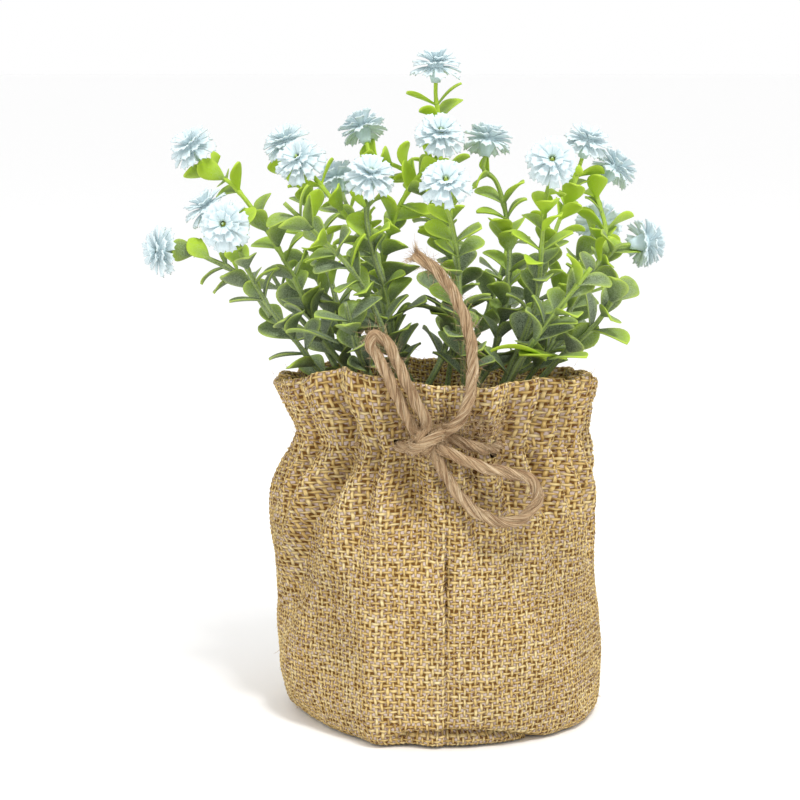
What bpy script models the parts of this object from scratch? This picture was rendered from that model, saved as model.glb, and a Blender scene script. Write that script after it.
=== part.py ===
"""A posy of pale blue artificial flowers in a burlap drawstring bag.

Blender 4.5 script, in metres, +Z up. The origin is the centre of the bag's base, the knot of the
drawstring faces -Y, and +X is to the right of someone who looks at the knot.
"""

import math

import bmesh
import bpy
from mathutils import Matrix, Vector
from mathutils.bvhtree import BVHTree

MM = 0.001

# Fits. Pieces that touch keep this gap.
GAP = 0.3 * MM

# Bag, measured on the middle of the cloth.
CLOTH = 1.0 * MM
BAG_HEIGHT = 104.5 * MM
RIM_RISE = 3.5 * MM  # the rim is this much higher in front, and lower behind
BODY_RADIUS = 48.0 * MM
BASE_RADIUS = 46.2 * MM
NECK_RADIUS = 43.2 * MM
RIM_RADIUS = 48.8 * MM
NECK_BELOW_RIM = 18.5 * MM  # from the mean rim to the middle of the drawstring's channel
CHANNEL_HALF = 7.0 * MM  # from the middle of the channel to each of its two rows of stitches
PLEATS = 20
NECK_PLEAT = 1.4 * MM
RIM_PLEAT = 2.0 * MM
HEM_PLEAT = 0.5 * MM
CHANNEL_FLAT = 3.4 * MM  # half the height of the channel's straight part, round the twine
STITCHED = 1.6 * MM  # between the two layers of cloth along a row of stitches

# Twine of the drawstring.
TWINE_RADIUS = 1.75 * MM
TWINE_PLAY = 0.5 * MM  # between the run in the channel and the hem behind it
EYELET_PLAY = 1.85 * MM  # round the twine where it bends out through the cloth

# Pot, foam and crown inside the bag.
POT_WALL = 1.2 * MM
POT_BELOW_HEM = 14.0 * MM
POT_CLEARANCE = 2.5 * MM  # between the pot and the cloth around it
POT_TAPER = 3.0 * MM
FOAM_BELOW_POT = 7.0 * MM
CROWN_RADIUS = 10.5 * MM
CROWN_HEIGHT = 24.0 * MM
CROWN_PROUD = 3.0 * MM  # how far the crown stands above the foam
SOCKET_DEPTH = 6.0 * MM
SOCKET_RING = 7.2 * MM

# Stems and leaves, moulded together.
STEM_RADIUS = 1.2 * MM  # to the corners of the square stem, at its foot
STEM_TIP_RADIUS = 0.75 * MM
LEAF_STEP = 10.5 * MM  # between one pair of leaves and the next
LEAF_LENGTH = 12.0 * MM
LEAF_WIDTH = 7.4 * MM
LEAF_THICKNESS = 0.8 * MM
FIRST_PAIR = 6.0 * MM  # the top pair of leaves is this far below the flower
BRANCH_TILT = 4.0  # degrees that a branch can be bent outward at its foot

# Flower heads.
FLOWER_RADIUS = 7.8 * MM
FLOWER_HEIGHT = 9.0 * MM
CALYX_RADIUS = 1.5 * MM
FLOWER_SOCKET = 2.4 * MM

# The branches' routes were drawn for a neck that is open this far, and spread with it.
DRAWN_NECK = 35.0 * MM

neck_z = BAG_HEIGHT - NECK_BELOW_RIM
twine_ring = NECK_RADIUS - NECK_PLEAT - CLOTH / 2 - GAP - TWINE_RADIUS
hem_neck = twine_ring - TWINE_RADIUS - TWINE_PLAY - CLOTH / 2 - HEM_PLEAT
neck_open = hem_neck - HEM_PLEAT - CLOTH / 2
spread = neck_open / DRAWN_NECK
hem_end = neck_z - CHANNEL_HALF
pot_top = hem_end - POT_BELOW_HEM
pot_radius = min(BODY_RADIUS, BASE_RADIUS + POT_TAPER) - CLOTH / 2 - POT_CLEARANCE
foam_top = pot_top - FOAM_BELOW_POT
crown_top = foam_top + CROWN_PROUD
hinge_z = crown_top - SOCKET_DEPTH / 2
socket_radius = STEM_RADIUS + GAP + SOCKET_DEPTH / 2 * math.sin(math.radians(BRANCH_TILT))


def new_collection(name):
    made = bpy.data.collections.new(name)
    bpy.context.scene.collection.children.link(made)
    return made


for old in list(bpy.data.objects):
    bpy.data.objects.remove(old)
pieces = new_collection("flower_posy")
cutters = new_collection("cutters")
cutters.hide_render = True


def material(name, rgb, roughness):
    """A plain material in linear colour."""
    made = bpy.data.materials.new(name)
    made.use_nodes = True
    shader = made.node_tree.nodes["Principled BSDF"]
    shader.inputs["Base Color"].default_value = (*rgb, 1)
    shader.inputs["Roughness"].default_value = roughness
    return made


burlap = material("burlap", (0.51, 0.29, 0.09), 0.95)
jute = material("jute_twine", (0.48, 0.31, 0.17), 0.95)
pot_plastic = material("white_plastic", (0.75, 0.78, 0.78), 0.4)
foam = material("white_foam", (0.8, 0.82, 0.8), 0.9)
leaf_plastic = material("green_polyethylene", (0.21, 0.33, 0.03), 0.55)
petal_plastic = material("pale_blue_polyethylene", (0.68, 0.81, 0.84), 0.6)


def add_object(name, mesh, finish, collection=pieces):
    made = bpy.data.objects.new(name, mesh)
    collection.objects.link(made)
    mesh.materials.append(finish)
    return made


def mesh_from(bm, name):
    """Close the work on a bmesh: faces out, shaded smooth apart from its edges."""
    bmesh.ops.recalc_face_normals(bm, faces=bm.faces)
    if bm.calc_volume(signed=True) < 0:
        bmesh.ops.reverse_faces(bm, faces=bm.faces)
    mesh = bpy.data.meshes.new(name)
    bm.to_mesh(mesh)
    bm.free()
    mesh.shade_smooth()
    mesh.set_sharp_from_angle(angle=math.radians(40))
    return mesh


def turned(name, profile, finish, segments=32, collection=pieces):
    """Turn a profile of (radius, height) points round Z. It runs down the outer side, top first."""
    mesh = bpy.data.meshes.new(name)
    points = [(radius, 0, height) for radius, height in profile]
    mesh.from_pydata(points, [(i, i + 1) for i in range(len(points) - 1)], [])
    made = add_object(name, mesh, finish, collection)
    screw = made.modifiers.new("Turn", "SCREW")
    screw.steps = segments
    screw.render_steps = segments
    screw.use_merge_vertices = True
    screw.merge_threshold = 0.00001
    return made


def cut(target, cutter):
    cutter.display_type = "WIRE"
    cutter.hide_render = True
    step = target.modifiers.new("Cut " + cutter.name, "BOOLEAN")
    step.operation = "DIFFERENCE"
    step.object = cutter


def smooth_line(points, per_span=8):
    """Points on the smooth curve through the given ones (a centripetal Catmull-Rom curve)."""
    ends = [2 * points[0] - points[1], *points, 2 * points[-1] - points[-2]]
    line = []
    for p0, p1, p2, p3 in zip(ends, ends[1:], ends[2:], ends[3:]):
        t1 = (p1 - p0).length ** 0.5
        t2 = t1 + (p2 - p1).length ** 0.5
        t3 = t2 + (p3 - p2).length ** 0.5
        for i in range(per_span):
            t = t1 + (t2 - t1) * i / per_span
            a1 = p0.lerp(p1, t / t1)
            a2 = p1.lerp(p2, (t - t1) / (t2 - t1))
            a3 = p2.lerp(p3, (t - t2) / (t3 - t2))
            b1 = a1.lerp(a2, t / t2)
            b2 = a2.lerp(a3, (t - t1) / (t3 - t1))
            line.append(b1.lerp(b2, (t - t1) / (t2 - t1)))
    line.append(points[-1])
    return line


def tube(name, points, radius, finish):
    """A round cord along a line of points, with flat ends."""
    curve = bpy.data.curves.new(name, "CURVE")
    curve.dimensions = "3D"
    curve.bevel_depth = radius
    curve.bevel_resolution = 2
    curve.use_fill_caps = True
    spline = curve.splines.new("POLY")
    spline.points.add(len(points) - 1)
    for target, point in zip(spline.points, points):
        target.co = (*point, 1)
    return add_object(name, curve, finish)


# ---- Bag: one side panel whose top is turned in as a hem, and a round bottom panel.

# Each row is (height, radius, pleat depth, share of the rim's rise).
channel_top = neck_z + CHANNEL_HALF
rim_low = BAG_HEIGHT - 2.5 * MM
side_rows = [
    (0, BASE_RADIUS, 0, 0),
    (1 * MM, BASE_RADIUS, 0, 0),
    (6 * MM, BODY_RADIUS - 0.6 * MM, 0, 0),
    (neck_z * 0.3, BODY_RADIUS, 0.2 * MM, 0),
    (neck_z * 0.58, BODY_RADIUS, 0.5 * MM, 0),
    (neck_z * 0.76, BODY_RADIUS - 0.4 * MM, 0.7 * MM, 0.1),
    (neck_z * 0.86, BODY_RADIUS - 1.6 * MM, 1.2 * MM, 0.2),
    (hem_end, NECK_RADIUS + 1.2 * MM, NECK_PLEAT, 0.3),
    (neck_z - CHANNEL_FLAT, NECK_RADIUS, NECK_PLEAT, 0.3),
    (neck_z + CHANNEL_FLAT, NECK_RADIUS, NECK_PLEAT, 0.3),
    (channel_top, NECK_RADIUS + 0.8 * MM, NECK_PLEAT, 0.5),
    ((channel_top + rim_low) / 2, (NECK_RADIUS + RIM_RADIUS) / 2 + 1.0 * MM, RIM_PLEAT, 0.8),
    (rim_low, RIM_RADIUS, RIM_PLEAT, 1),
    (BAG_HEIGHT, RIM_RADIUS - STITCHED / 2, RIM_PLEAT, 1),
    (rim_low, RIM_RADIUS - STITCHED, RIM_PLEAT, 1),
    (channel_top, NECK_RADIUS + 0.8 * MM - STITCHED, NECK_PLEAT, 0.5),
    (neck_z + CHANNEL_FLAT, hem_neck, HEM_PLEAT, 0.3),
    (neck_z - CHANNEL_FLAT, hem_neck, HEM_PLEAT, 0.3),
    (hem_end, NECK_RADIUS + 1.2 * MM - STITCHED, NECK_PLEAT, 0.3),
]
PANEL_STEPS = 2 * PLEATS


def side_panel():
    """A grid of cloth rolled into a tube, every second column drawn in as a pleat."""
    bm = bmesh.new()
    bmesh.ops.create_grid(bm, x_segments=PANEL_STEPS, y_segments=len(side_rows) - 1, size=1)
    for vert in bm.verts:
        column = round((vert.co.x + 1) / 2 * PANEL_STEPS)
        height, radius, pleat, rise = side_rows[round((vert.co.y + 1) / 2 * (len(side_rows) - 1))]
        turn = 2 * math.pi * column / PANEL_STEPS
        reach = radius + pleat * math.cos(math.pi * column)
        lift = -RIM_RISE * rise * math.sin(turn)
        vert.co = (reach * math.cos(turn), reach * math.sin(turn), height + lift)
    bmesh.ops.remove_doubles(bm, verts=bm.verts, dist=0.01 * MM)
    panel = add_object("bag_side_panel", mesh_from(bm, "bag_side_panel"), burlap)
    shell = panel.modifiers.new("Cloth", "SOLIDIFY")
    shell.thickness = CLOTH
    shell.offset = 0
    return panel


bag_side = side_panel()
bottom_radius = BASE_RADIUS - CLOTH / 2 - GAP
turned("bag_bottom_panel", [(0, CLOTH), (bottom_radius, CLOTH), (bottom_radius, 0), (0, 0)], burlap)

# ---- Pot, foam and crown.

pot_floor = CLOTH + GAP
pot_foot = pot_radius - POT_TAPER
pot_inside = pot_radius - POT_WALL
turned(
    "inner_pot",
    [
        (pot_inside, pot_top),
        (pot_radius, pot_top),
        (pot_foot, pot_floor),
        (0, pot_floor),
        (0, pot_floor + POT_WALL),
        (pot_foot - POT_WALL, pot_floor + POT_WALL),
        (pot_inside, pot_top),
    ],
    pot_plastic,
)

foam_floor = pot_floor + POT_WALL + GAP
foam_foot = pot_foot - POT_WALL - GAP
foam_share = (foam_top - pot_floor) / (pot_top - pot_floor)
foam_reach = pot_foot + (pot_radius - pot_foot) * foam_share - POT_WALL - 2 * GAP
crown_well = CROWN_RADIUS + GAP
crown_floor = crown_top - CROWN_HEIGHT
turned(
    "foam_block",
    [
        (0, crown_floor - GAP),
        (crown_well, crown_floor - GAP),
        (crown_well, foam_top),
        (foam_reach - 2 * MM, foam_top),
        (foam_reach, foam_top - 2 * MM),
        (foam_foot, foam_floor),
        (0, foam_floor),
    ],
    foam,
)

crown_profile = [
    (0, crown_top),
    (CROWN_RADIUS - 1 * MM, crown_top),
    (CROWN_RADIUS, crown_top - 1 * MM),
    (CROWN_RADIUS, crown_floor),
    (0, crown_floor),
]
crown = turned("stem_crown", crown_profile, leaf_plastic, segments=24)

# Where each branch stands in the crown, in degrees round from +X. The centre one is in the middle.
SOCKET_BEARINGS = {
    "left_front": 207,
    "left": 165,
    "front_left": 245,
    "front": 283,
    "right_front": 323,
    "right": 3,
    "right_back": 43,
    "back": 105,
}


def socket_place(branch):
    if branch == "centre":
        return Vector((0, 0, crown_top))
    bearing = math.radians(SOCKET_BEARINGS[branch])
    return Vector((SOCKET_RING * math.cos(bearing), SOCKET_RING * math.sin(bearing), crown_top))


for branch in ["centre", *SOCKET_BEARINGS]:
    bore = turned(
        "bore_" + branch,
        [(0, SOCKET_DEPTH), (socket_radius, SOCKET_DEPTH), (socket_radius, -SOCKET_DEPTH),
         (0, -SOCKET_DEPTH)],
        leaf_plastic,
        segments=10,
        collection=cutters,
    )
    bore.location = socket_place(branch)
    cut(crown, bore)

# ---- Drawstring: a held run in the channel, and the knot, the two loops and the tail in front.

front = Vector((0, -NECK_RADIUS, neck_z))


def by_neck(x, y, z):
    """A point in millimetres from the front of the neck, outward along -Y."""
    return front + Vector((x * MM, y * MM, z * MM))


def by_channel(turn, inward, z):
    """A point at a bearing in degrees, in millimetres inward from the twine in the channel."""
    reach = twine_ring - inward * MM
    return Vector((reach * math.cos(math.radians(turn)), reach * math.sin(math.radians(turn)), neck_z + z * MM))


# Each eyelet from the inside of the cloth to the outside.
eyelets = {
    "right": (by_channel(-58.7, 0.75, 1), by_neck(11, -3.6, 2.2)),
    "left": (by_channel(245.4, 0.75, 1), by_neck(-9.6, -2.6, 2.6)),
}
eyelet_radius = TWINE_RADIUS + EYELET_PLAY


def channel_run(start_turn, end_turn):
    """Points round the back of the neck inside the channel, from one bearing to the other."""
    count = 22
    points = []
    for i in range(count):
        turn = math.radians(start_turn + (end_turn - start_turn) * i / (count - 1))
        lift = -RIM_RISE * 0.3 * math.sin(turn)
        points.append(Vector((twine_ring * math.cos(turn), twine_ring * math.sin(turn), neck_z + lift)))
    return points


drawstring_points = [
    by_neck(1.2, -4.8, 5.4),
    by_neck(5.5, -5.0, 4.4),
    eyelets["right"][1],
    eyelets["right"][0],
    *channel_run(-50, 237),
    eyelets["left"][0],
    eyelets["left"][1],
    by_neck(-8.4, -4.4, 3.6),
]
tube("drawstring_run", smooth_line(drawstring_points, 2), TWINE_RADIUS, jute)

for side, (inside, outside) in eyelets.items():
    reach = outside - inside
    hole = turned(
        "eyelet_" + side,
        [(0, reach.length * 0.6), (eyelet_radius, reach.length * 0.6),
         (eyelet_radius, -reach.length * 0.3), (0, -reach.length * 0.3)],
        jute,
        segments=12,
        collection=cutters,
    )
    hole.location = (inside + outside) / 2
    hole.rotation_euler = reach.to_track_quat("Z", "Y").to_euler()
    cut(bag_side, hole)

KNOT_CENTRE = by_neck(-4, -6.6, 5.2)
KNOT_SIZE = (4.2 * MM, 3.2 * MM, 4.4 * MM)


def twine_knot():
    bm = bmesh.new()
    bmesh.ops.create_uvsphere(bm, u_segments=14, v_segments=8, radius=1)
    bmesh.ops.scale(bm, vec=KNOT_SIZE, verts=bm.verts)
    knot = add_object("twine_knot", mesh_from(bm, "twine_knot"), jute)
    knot.location = KNOT_CENTRE


twine_knot()

# Routes of the free twine, in millimetres from the front of the neck.
FREE_TWINE = {
    "twine_loop_upper": [
        (-8.4, -7.6, 9.4), (-10.5, -9.5, 14), (-13.6, -11, 21), (-17, -11.5, 28), (-19.6, -11.4, 32.6),
        (-18.6, -11, 35.4), (-15.4, -11, 33.4), (-12, -11.2, 27), (-8.6, -11.3, 19.5), (-5.6, -10.2, 13.6),
        (-4.2, -8.2, 10.4),
    ],
    "twine_loop_lower": [
        (-1.6, -8, 0.8), (1.5, -8.6, -5), (6, -8.8, -11.5), (12, -8.8, -16.2), (18.5, -8.4, -18),
        (24, -7.6, -16), (27, -7, -11), (25.5, -7.2, -6.4), (19.5, -8.2, -4), (12, -9.4, -2.2),
        (5.6, -9.8, 0.4), (1.2, -9.0, 2.4),
    ],
    "twine_tail": [
        (0.7, -7.4, 7.6), (3.4, -9.4, 9.6), (6.6, -11, 14.6), (8.2, -11.4, 22), (8.2, -11.4, 31),
        (6.4, -11.4, 39.5), (2.4, -11, 48), (-3, -10, 54.4), (-8, -9, 57.4),
    ],
}
for name, route in FREE_TWINE.items():
    tube(name, smooth_line([by_neck(*point) for point in route], 2), TWINE_RADIUS, jute)

# ---- Branches. A sprig is a stem and its leaves, and stands in the crown or against another sprig.


class Sprig:
    """The route of one sprig in millimetres from the middle of the bag's mouth, at the rim."""

    def __init__(self, name, branch, parent, route, facing=None, turn=0, leaf=1.0):
        self.name = name
        self.branch = branch
        self.parent = parent
        self.route = route
        self.facing = facing
        self.turn = turn
        self.leaf = leaf


# The last point of a route is the foot of the flower, or the end of a leafy shoot.
SPRIGS = [
    Sprig("left_front", "left_front", None,
          [(-14, -7, -28), (-31, -14, -5), (-43, -20, 12), (-50, -24, 22), (-56, -27, 34), (-60, -34, 45)],
          (-0.15, -0.95, 0.2), 20),
    Sprig("left_front_side", "left_front", "left_front",
          [(-49, -20.5, 18), (-55, -17, 26), (-61, -14, 31), (-68, -11, 34), (-77, -9, 36)],
          (-0.9, -0.35, 0), 65, 0.9),
    Sprig("left_front_twig", "left_front", "left_front_side",
          [(-60.6, -10.6, 33.4), (-63, -8, 38), (-66, -6, 44)],
          (-0.5, -0.1, 0.85), 0, 0.8),
    Sprig("left", "left", None,
          [(-13, 3, -26), (-27, 4, -2), (-35, 4, 8), (-42, 5, 23), (-50, 7, 38), (-62, 11, 54), (-72, 14, 62)],
          (-0.5, -0.4, 0.75), 40),
    Sprig("left_side", "left", "left",
          [(-24, 7.4, -8), (-28, 11, 4), (-31, 13, 18), (-35, 16, 33), (-41, 19, 50), (-45, 22, 62)],
          (-0.3, -0.3, 0.9), 10),
    Sprig("front_left", "front_left", None,
          [(-6, -8, -26), (-13, -14, 4), (-15, -17, 20), (-19, -19, 36), (-28, -20, 48), (-38, -18, 60)],
          (-0.45, -0.6, 0.6), 30),
    Sprig("front_left_side", "front_left", "front_left",
          [(-13, -18.5, 2), (-17, -25, 16), (-25, -31, 32), (-33, -35, 41), (-44, -38, 52)], None, 15),
    Sprig("front_left_twig", "front_left", "front_left",
          [(-16.5, -21.5, 28), (-19, -26, 36), (-21, -28, 46), (-20.6, -26.6, 55)],
          (0.1, -0.55, 0.8), 50, 0.9),
    Sprig("centre", "centre", None,
          [(0, 0, -26), (3, -4, -2), (5, -4, 14), (4, -2, 34), (1, 0, 54), (0, 2, 74), (-1, 2, 85)],
          (0, -0.1, 1), 0),
    Sprig("centre_left", "centre", "centre",
          [(-1.5, -5, -12), (-9, -6, -2), (-15, -6, 12), (-17, -6, 27), (-14, -8, 44), (-7, -12, 57),
           (-0.6, -14.3, 66.4)],
          (0.1, -0.6, 0.75), 25),
    Sprig("centre_right", "centre", "centre",
          [(5.4, -1, -12), (13, 2, -4), (18, 4, 8), (21, 6, 24), (21, 8, 42), (17, 7, 56), (14, 6, 63)],
          (0.15, 0.25, 0.95), 45),
    Sprig("front", "front", None,
          [(3, -10, -26), (7, -19, -4), (6, -24, 14), (5, -30, 34), (3, -35, 46), (1, -40, 55)],
          (0, -0.75, 0.6), 70),
    Sprig("right_front", "right_front", None,
          [(11, -7, -26), (19, -12, -4), (24, -17, 10), (28, -24, 25), (29, -29, 42), (30, -30, 54),
           (31.6, -32.4, 62)],
          (-0.1, -0.9, 0.35), 10),
    Sprig("right", "right", None,
          [(15, -3, -26), (27, -7, -2), (34, -9, 9), (40, -9, 21), (48, -9, 32), (56, -10, 38)],
          (0.85, 0.3, 0.1), 35),
    Sprig("right_back", "right_back", None,
          [(10, 6, -26), (20, 3, -4), (26, 4, 10), (31, 9, 24), (36, 16, 40), (42, 21, 54), (44.5, 23, 62)],
          (0.25, -0.2, 0.9), 0),
    Sprig("right_back_side", "right_back", "right_back",
          [(24.5, 4.4, -2), (33, 8, 2), (41, 12, 11), (48, 18, 25), (52, 24, 40), (52, 28.7, 54.5)],
          (0.6, 0.2, 0.7), 60),
    Sprig("right_back_twig", "right_back", "right_back",
          [(16.5, 8.5, -12), (22, 13, -4), (31, 20, 6), (40, 31, 22), (46, 38, 32), (51.7, 46.4, 38.7)],
          (0.2, 0.9, 0.2), 20),
    Sprig("back", "back", None,
          [(-3, 11, -26), (-11, 17, -2), (-18, 27, 18), (-22, 35, 32), (-26, 40, 42), (-30, 43, 50)],
          (-0.3, 0.5, 0.8), 15),
    Sprig("back_side", "back", "back",
          [(-4, 17.5, -10), (2, 19, 2), (5, 22, 20), (2, 28, 40), (-8, 34, 56), (-22, 36, 66)],
          (-0.3, 0.4, 0.85), 50),
    Sprig("shoot_left", "left", "left",
          [(-31, 7.6, -1), (-36, 14, 6), (-44, 22, 14), (-52, 28, 26)], None, 0, 1.1),
    Sprig("shoot_front_left", "front_left", "front_left",
          [(-13.5, -13, -10), (-20, -22, 0), (-24, -31, 10), (-27, -38, 24)], None, 30, 1.15),
    Sprig("shoot_front_right", "right_front", "right_front",
          [(18.5, -15.8, -9), (20, -26, -1), (25, -33, 10), (33, -38, 22), (42, -40, 34)], None, 10, 1.1),
    Sprig("shoot_right", "right", "right",
          [(30, -11.5, -2), (36, -17, 6), (45, -24, 16), (52, -28, 28)], None, 55, 1.15),
    Sprig("shoot_back_left", "back", "back",
          [(-15, 19, -3), (-24, 25, 4), (-34, 33, 16), (-42, 40, 32)], None, 25, 1.1),
    Sprig("shoot_back_right", "back", "back_side",
          [(5, 22.5, -1), (12, 28, 6), (19, 37, 20), (24, 46, 38)], None, 40, 1.1),
]


def above_mouth(x, y, z):
    return Vector((x * MM * spread, y * MM * spread, BAG_HEIGHT + z * MM))


def sprig_line(sprig):
    """The sprig's whole centre line. A flowering one ends inside the socket of its flower."""
    points = [above_mouth(*point) for point in sprig.route]
    if sprig.parent is None:
        foot = socket_place(sprig.branch)
        points = [foot - Vector((0, 0, SOCKET_DEPTH - GAP)), foot + Vector((0, 0, 3 * MM)), *points]
    if sprig.facing is not None:
        facing = Vector(sprig.facing).normalized()
        tip = points.pop()
        points += [tip - facing * 4 * MM, tip, tip + facing * (FLOWER_SOCKET - GAP)]
    return smooth_line(points)


class Stem:
    """Stations along a centre line, each a place and a frame that turns as little as it can."""

    def __init__(self, sprig):
        self.sprig = sprig
        self.line = sprig_line(sprig)
        self.reached = [0.0]
        for a, b in zip(self.line, self.line[1:]):
            self.reached.append(self.reached[-1] + (b - a).length)
        self.length = self.reached[-1]
        self.last_across = Matrix.Rotation(math.radians(sprig.turn), 3, "Z") @ Vector((1, 0, 0))

    def place(self, distance):
        for i in range(len(self.line) - 1):
            if distance <= self.reached[i + 1] or i == len(self.line) - 2:
                share = (distance - self.reached[i]) / (self.reached[i + 1] - self.reached[i])
                return self.line[i].lerp(self.line[i + 1], share)

    def frame(self, distance):
        """(place, along, across, out) at a distance from the foot. Asked for from foot to tip."""
        place = self.place(distance)
        step = 1 * MM
        ahead = self.place(min(distance + step, self.length))
        behind = self.place(max(distance - step, 0))
        along = (ahead - behind).normalized()
        across = (self.last_across - along * self.last_across.dot(along)).normalized()
        self.last_across = across
        return place, along, across, along.cross(across)

    def radius(self, distance):
        share = min(distance / (self.length - FIRST_PAIR), 1)
        return STEM_RADIUS + (STEM_TIP_RADIUS - STEM_RADIUS) * share


def joint_axis(branch):
    """The level axis that leans a branch outward. The centre one leans back."""
    mouth = next(s for s in SPRIGS if s.name == branch).route[2]
    outward = Vector((mouth[0], mouth[1], 0)).normalized()
    if branch == "centre":
        outward = Vector((0, 1, 0))
    return Vector((-outward.y, outward.x, 0))


def pose(branch, share):
    """The branch's movement at a share of its range."""
    pivot = socket_place(branch)
    pivot.z = hinge_z
    turn = Matrix.Rotation(math.radians(BRANCH_TILT * share), 4, joint_axis(branch))
    return Matrix.Translation(pivot) @ turn @ Matrix.Translation(-pivot)


SHARES = (0, 0.5, 1)
POSES = {branch: [pose(branch, share) for share in SHARES] for branch in ["centre", *SOCKET_BEARINGS]}
POSES["bag"] = [Matrix.Identity(4)]


class Block:
    """A small closed shape that others keep clear of in every position of the branches."""

    def __init__(self, body, points, faces):
        self.body = body
        self.points = points
        self.faces = faces
        self.middle = sum(points, Vector()) / len(points)
        self.reach = max((point - self.middle).length for point in points)
        self.tree = BVHTree.FromPolygons(points, faces)

    def meets(self, other):
        swing = 0 if self.body == other.body else 0.2 * self.middle.z
        if (self.middle - other.middle).length > self.reach + other.reach + swing:
            return False
        if self.body == other.body:
            return bool(self.tree.overlap(other.tree))
        for mine in POSES[self.body]:
            for theirs in POSES[other.body]:
                move = theirs.inverted() @ mine
                moved = [move @ point for point in self.points]
                if BVHTree.FromPolygons(moved, self.faces).overlap(other.tree):
                    return True
        return False


RING_FACES = [(0, 1, 5, 4), (1, 2, 6, 5), (2, 3, 7, 6), (3, 0, 4, 7), (0, 1, 2, 3), (4, 5, 6, 7)]


RING_ORDER = [(-1, -1), (1, -1), (1, 1), (-1, 1)]


def ring(place, across, out, half_across, half_out):
    """The four corners of a section, in the order of RING_ORDER."""
    return [place + across * half_across * a + out * half_out * b for a, b in RING_ORDER]


def piece_blocks(made, body):
    """A block for one whole object, such as a flower or a run of twine."""
    bpy.context.view_layer.update()
    graph = bpy.context.evaluated_depsgraph_get()
    shape = made.evaluated_get(graph)
    mesh = shape.to_mesh()
    points = [shape.matrix_world @ vert.co for vert in mesh.vertices]
    faces = [tuple(face.vertices) for face in mesh.polygons]
    shape.to_mesh_clear()
    return Block(body, points, faces)


def draw_out(bm, face, corners):
    """Extrude a face, and move its corners to the new ones, which come in the face's order."""
    made = bmesh.ops.extrude_discrete_faces(bm, faces=[face])["faces"][0]
    for vert, corner in zip(made.verts, corners):
        vert.co = corner
    return made


# A leaf's sections from stem to tip: (share of its length, share of its width).
LEAF_SECTIONS = [(0.34, 0.72), (0.72, 1.0), (1.0, 0.42)]
LEAF_ANGLE = 50  # degrees from the stem where the leaf starts
LEAF_BEND = 22  # degrees that it has turned further out by its tip


def leaf_rings(place, along, outward, length, width, lean, margin):
    """The corners of the leaf's sections. The leaf leans out from the stem by its angle."""
    across = along.cross(outward)
    rings = []
    reached = place.copy()
    last = 0
    for share, wide in LEAF_SECTIONS:
        angle = math.radians(LEAF_ANGLE + lean + LEAF_BEND * share)
        heading = along * math.cos(angle) + outward * math.sin(angle)
        reached = reached + heading * length * (share - last)
        last = share
        normal = heading.cross(across)
        rings.append(ring(reached, across, normal, width * wide / 2 + margin, LEAF_THICKNESS / 2 + margin))
    return rings


def leaf_block(body, place, rings):
    """The leaf as a block, from a quarter of the way to its first section."""
    root = [place.lerp(corner, 0.7) for corner in rings[0]]
    points = [*root]
    faces = []
    for i, corners in enumerate(rings):
        points += corners
        faces += [tuple(4 * i + corner for corner in face) for face in RING_FACES]
    return Block(body, points, faces)


stems = {sprig.name: Stem(sprig) for sprig in SPRIGS}


def flower(sprig):
    """A turned flower head with a blind socket for the stem, at the end of a sprig."""
    rim = 0.76 * FLOWER_HEIGHT
    made = turned(
        "flower_" + sprig.name,
        [
            (0, 0.9 * FLOWER_HEIGHT),
            (0.6 * FLOWER_RADIUS, FLOWER_HEIGHT),
            (FLOWER_RADIUS, rim),
            (0.5 * FLOWER_RADIUS, 0.42 * FLOWER_HEIGHT),
            (CALYX_RADIUS, 0),
            (STEM_TIP_RADIUS + GAP, 0),
            (STEM_TIP_RADIUS + GAP, FLOWER_SOCKET),
            (0, FLOWER_SOCKET),
        ],
        petal_plastic,
        segments=10,
    )
    made.location = above_mouth(*sprig.route[-1])
    made.rotation_euler = Vector(sprig.facing).to_track_quat("Z", "Y").to_euler()
    return made


blocks = [piece_blocks(made, "bag") for made in list(pieces.objects) if made.name != "stem_crown"]
for sprig in SPRIGS:
    if sprig.facing is not None:
        blocks.append(piece_blocks(flower(sprig), sprig.branch))


class Station:
    """One ring of a stem."""

    def __init__(self, stem, distance, opens_pair=None):
        self.place, self.along, self.across, self.out = stem.frame(distance)
        half = stem.radius(distance) / math.sqrt(2)
        self.corners = ring(self.place, self.across, self.out, half, half)
        self.opens_pair = opens_pair
        self.share = distance / stem.length


def stations(stem):
    """Rings from foot to tip: two close ones at each pair of leaves, and one halfway between pairs."""
    rings = [(0, None), (stem.length, None)]
    pair = 0
    distance = stem.length - FIRST_PAIR - (FLOWER_SOCKET if stem.sprig.facing else 0)
    while distance > LEAF_STEP / 2 and stem.place(distance).z > BAG_HEIGHT - 3 * MM:
        rings += [(distance - LEAF_THICKNESS / 2, pair), (distance + LEAF_THICKNESS / 2, None)]
        if distance > LEAF_STEP:
            rings.append((distance - LEAF_STEP / 2, None))
        pair += 1
        distance -= LEAF_STEP
    while distance > LEAF_STEP / 2:
        rings.append((distance, None))
        distance -= 0.7 * LEAF_STEP
    return [Station(stem, *found) for found in sorted(rings, key=lambda item: item[0])]


stem_stations = {name: stations(stem) for name, stem in stems.items()}
for name, found in stem_stations.items():
    for low, high in zip(found, found[1:]):
        blocks.append(Block(stems[name].sprig.branch, low.corners + high.corners, RING_FACES))

LEAF_TRIES = ((0, 1), (-18, 1), (16, 1), (-32, 0.9), (0, 0.75), (-20, 0.7), (20, 0.7))


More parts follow.
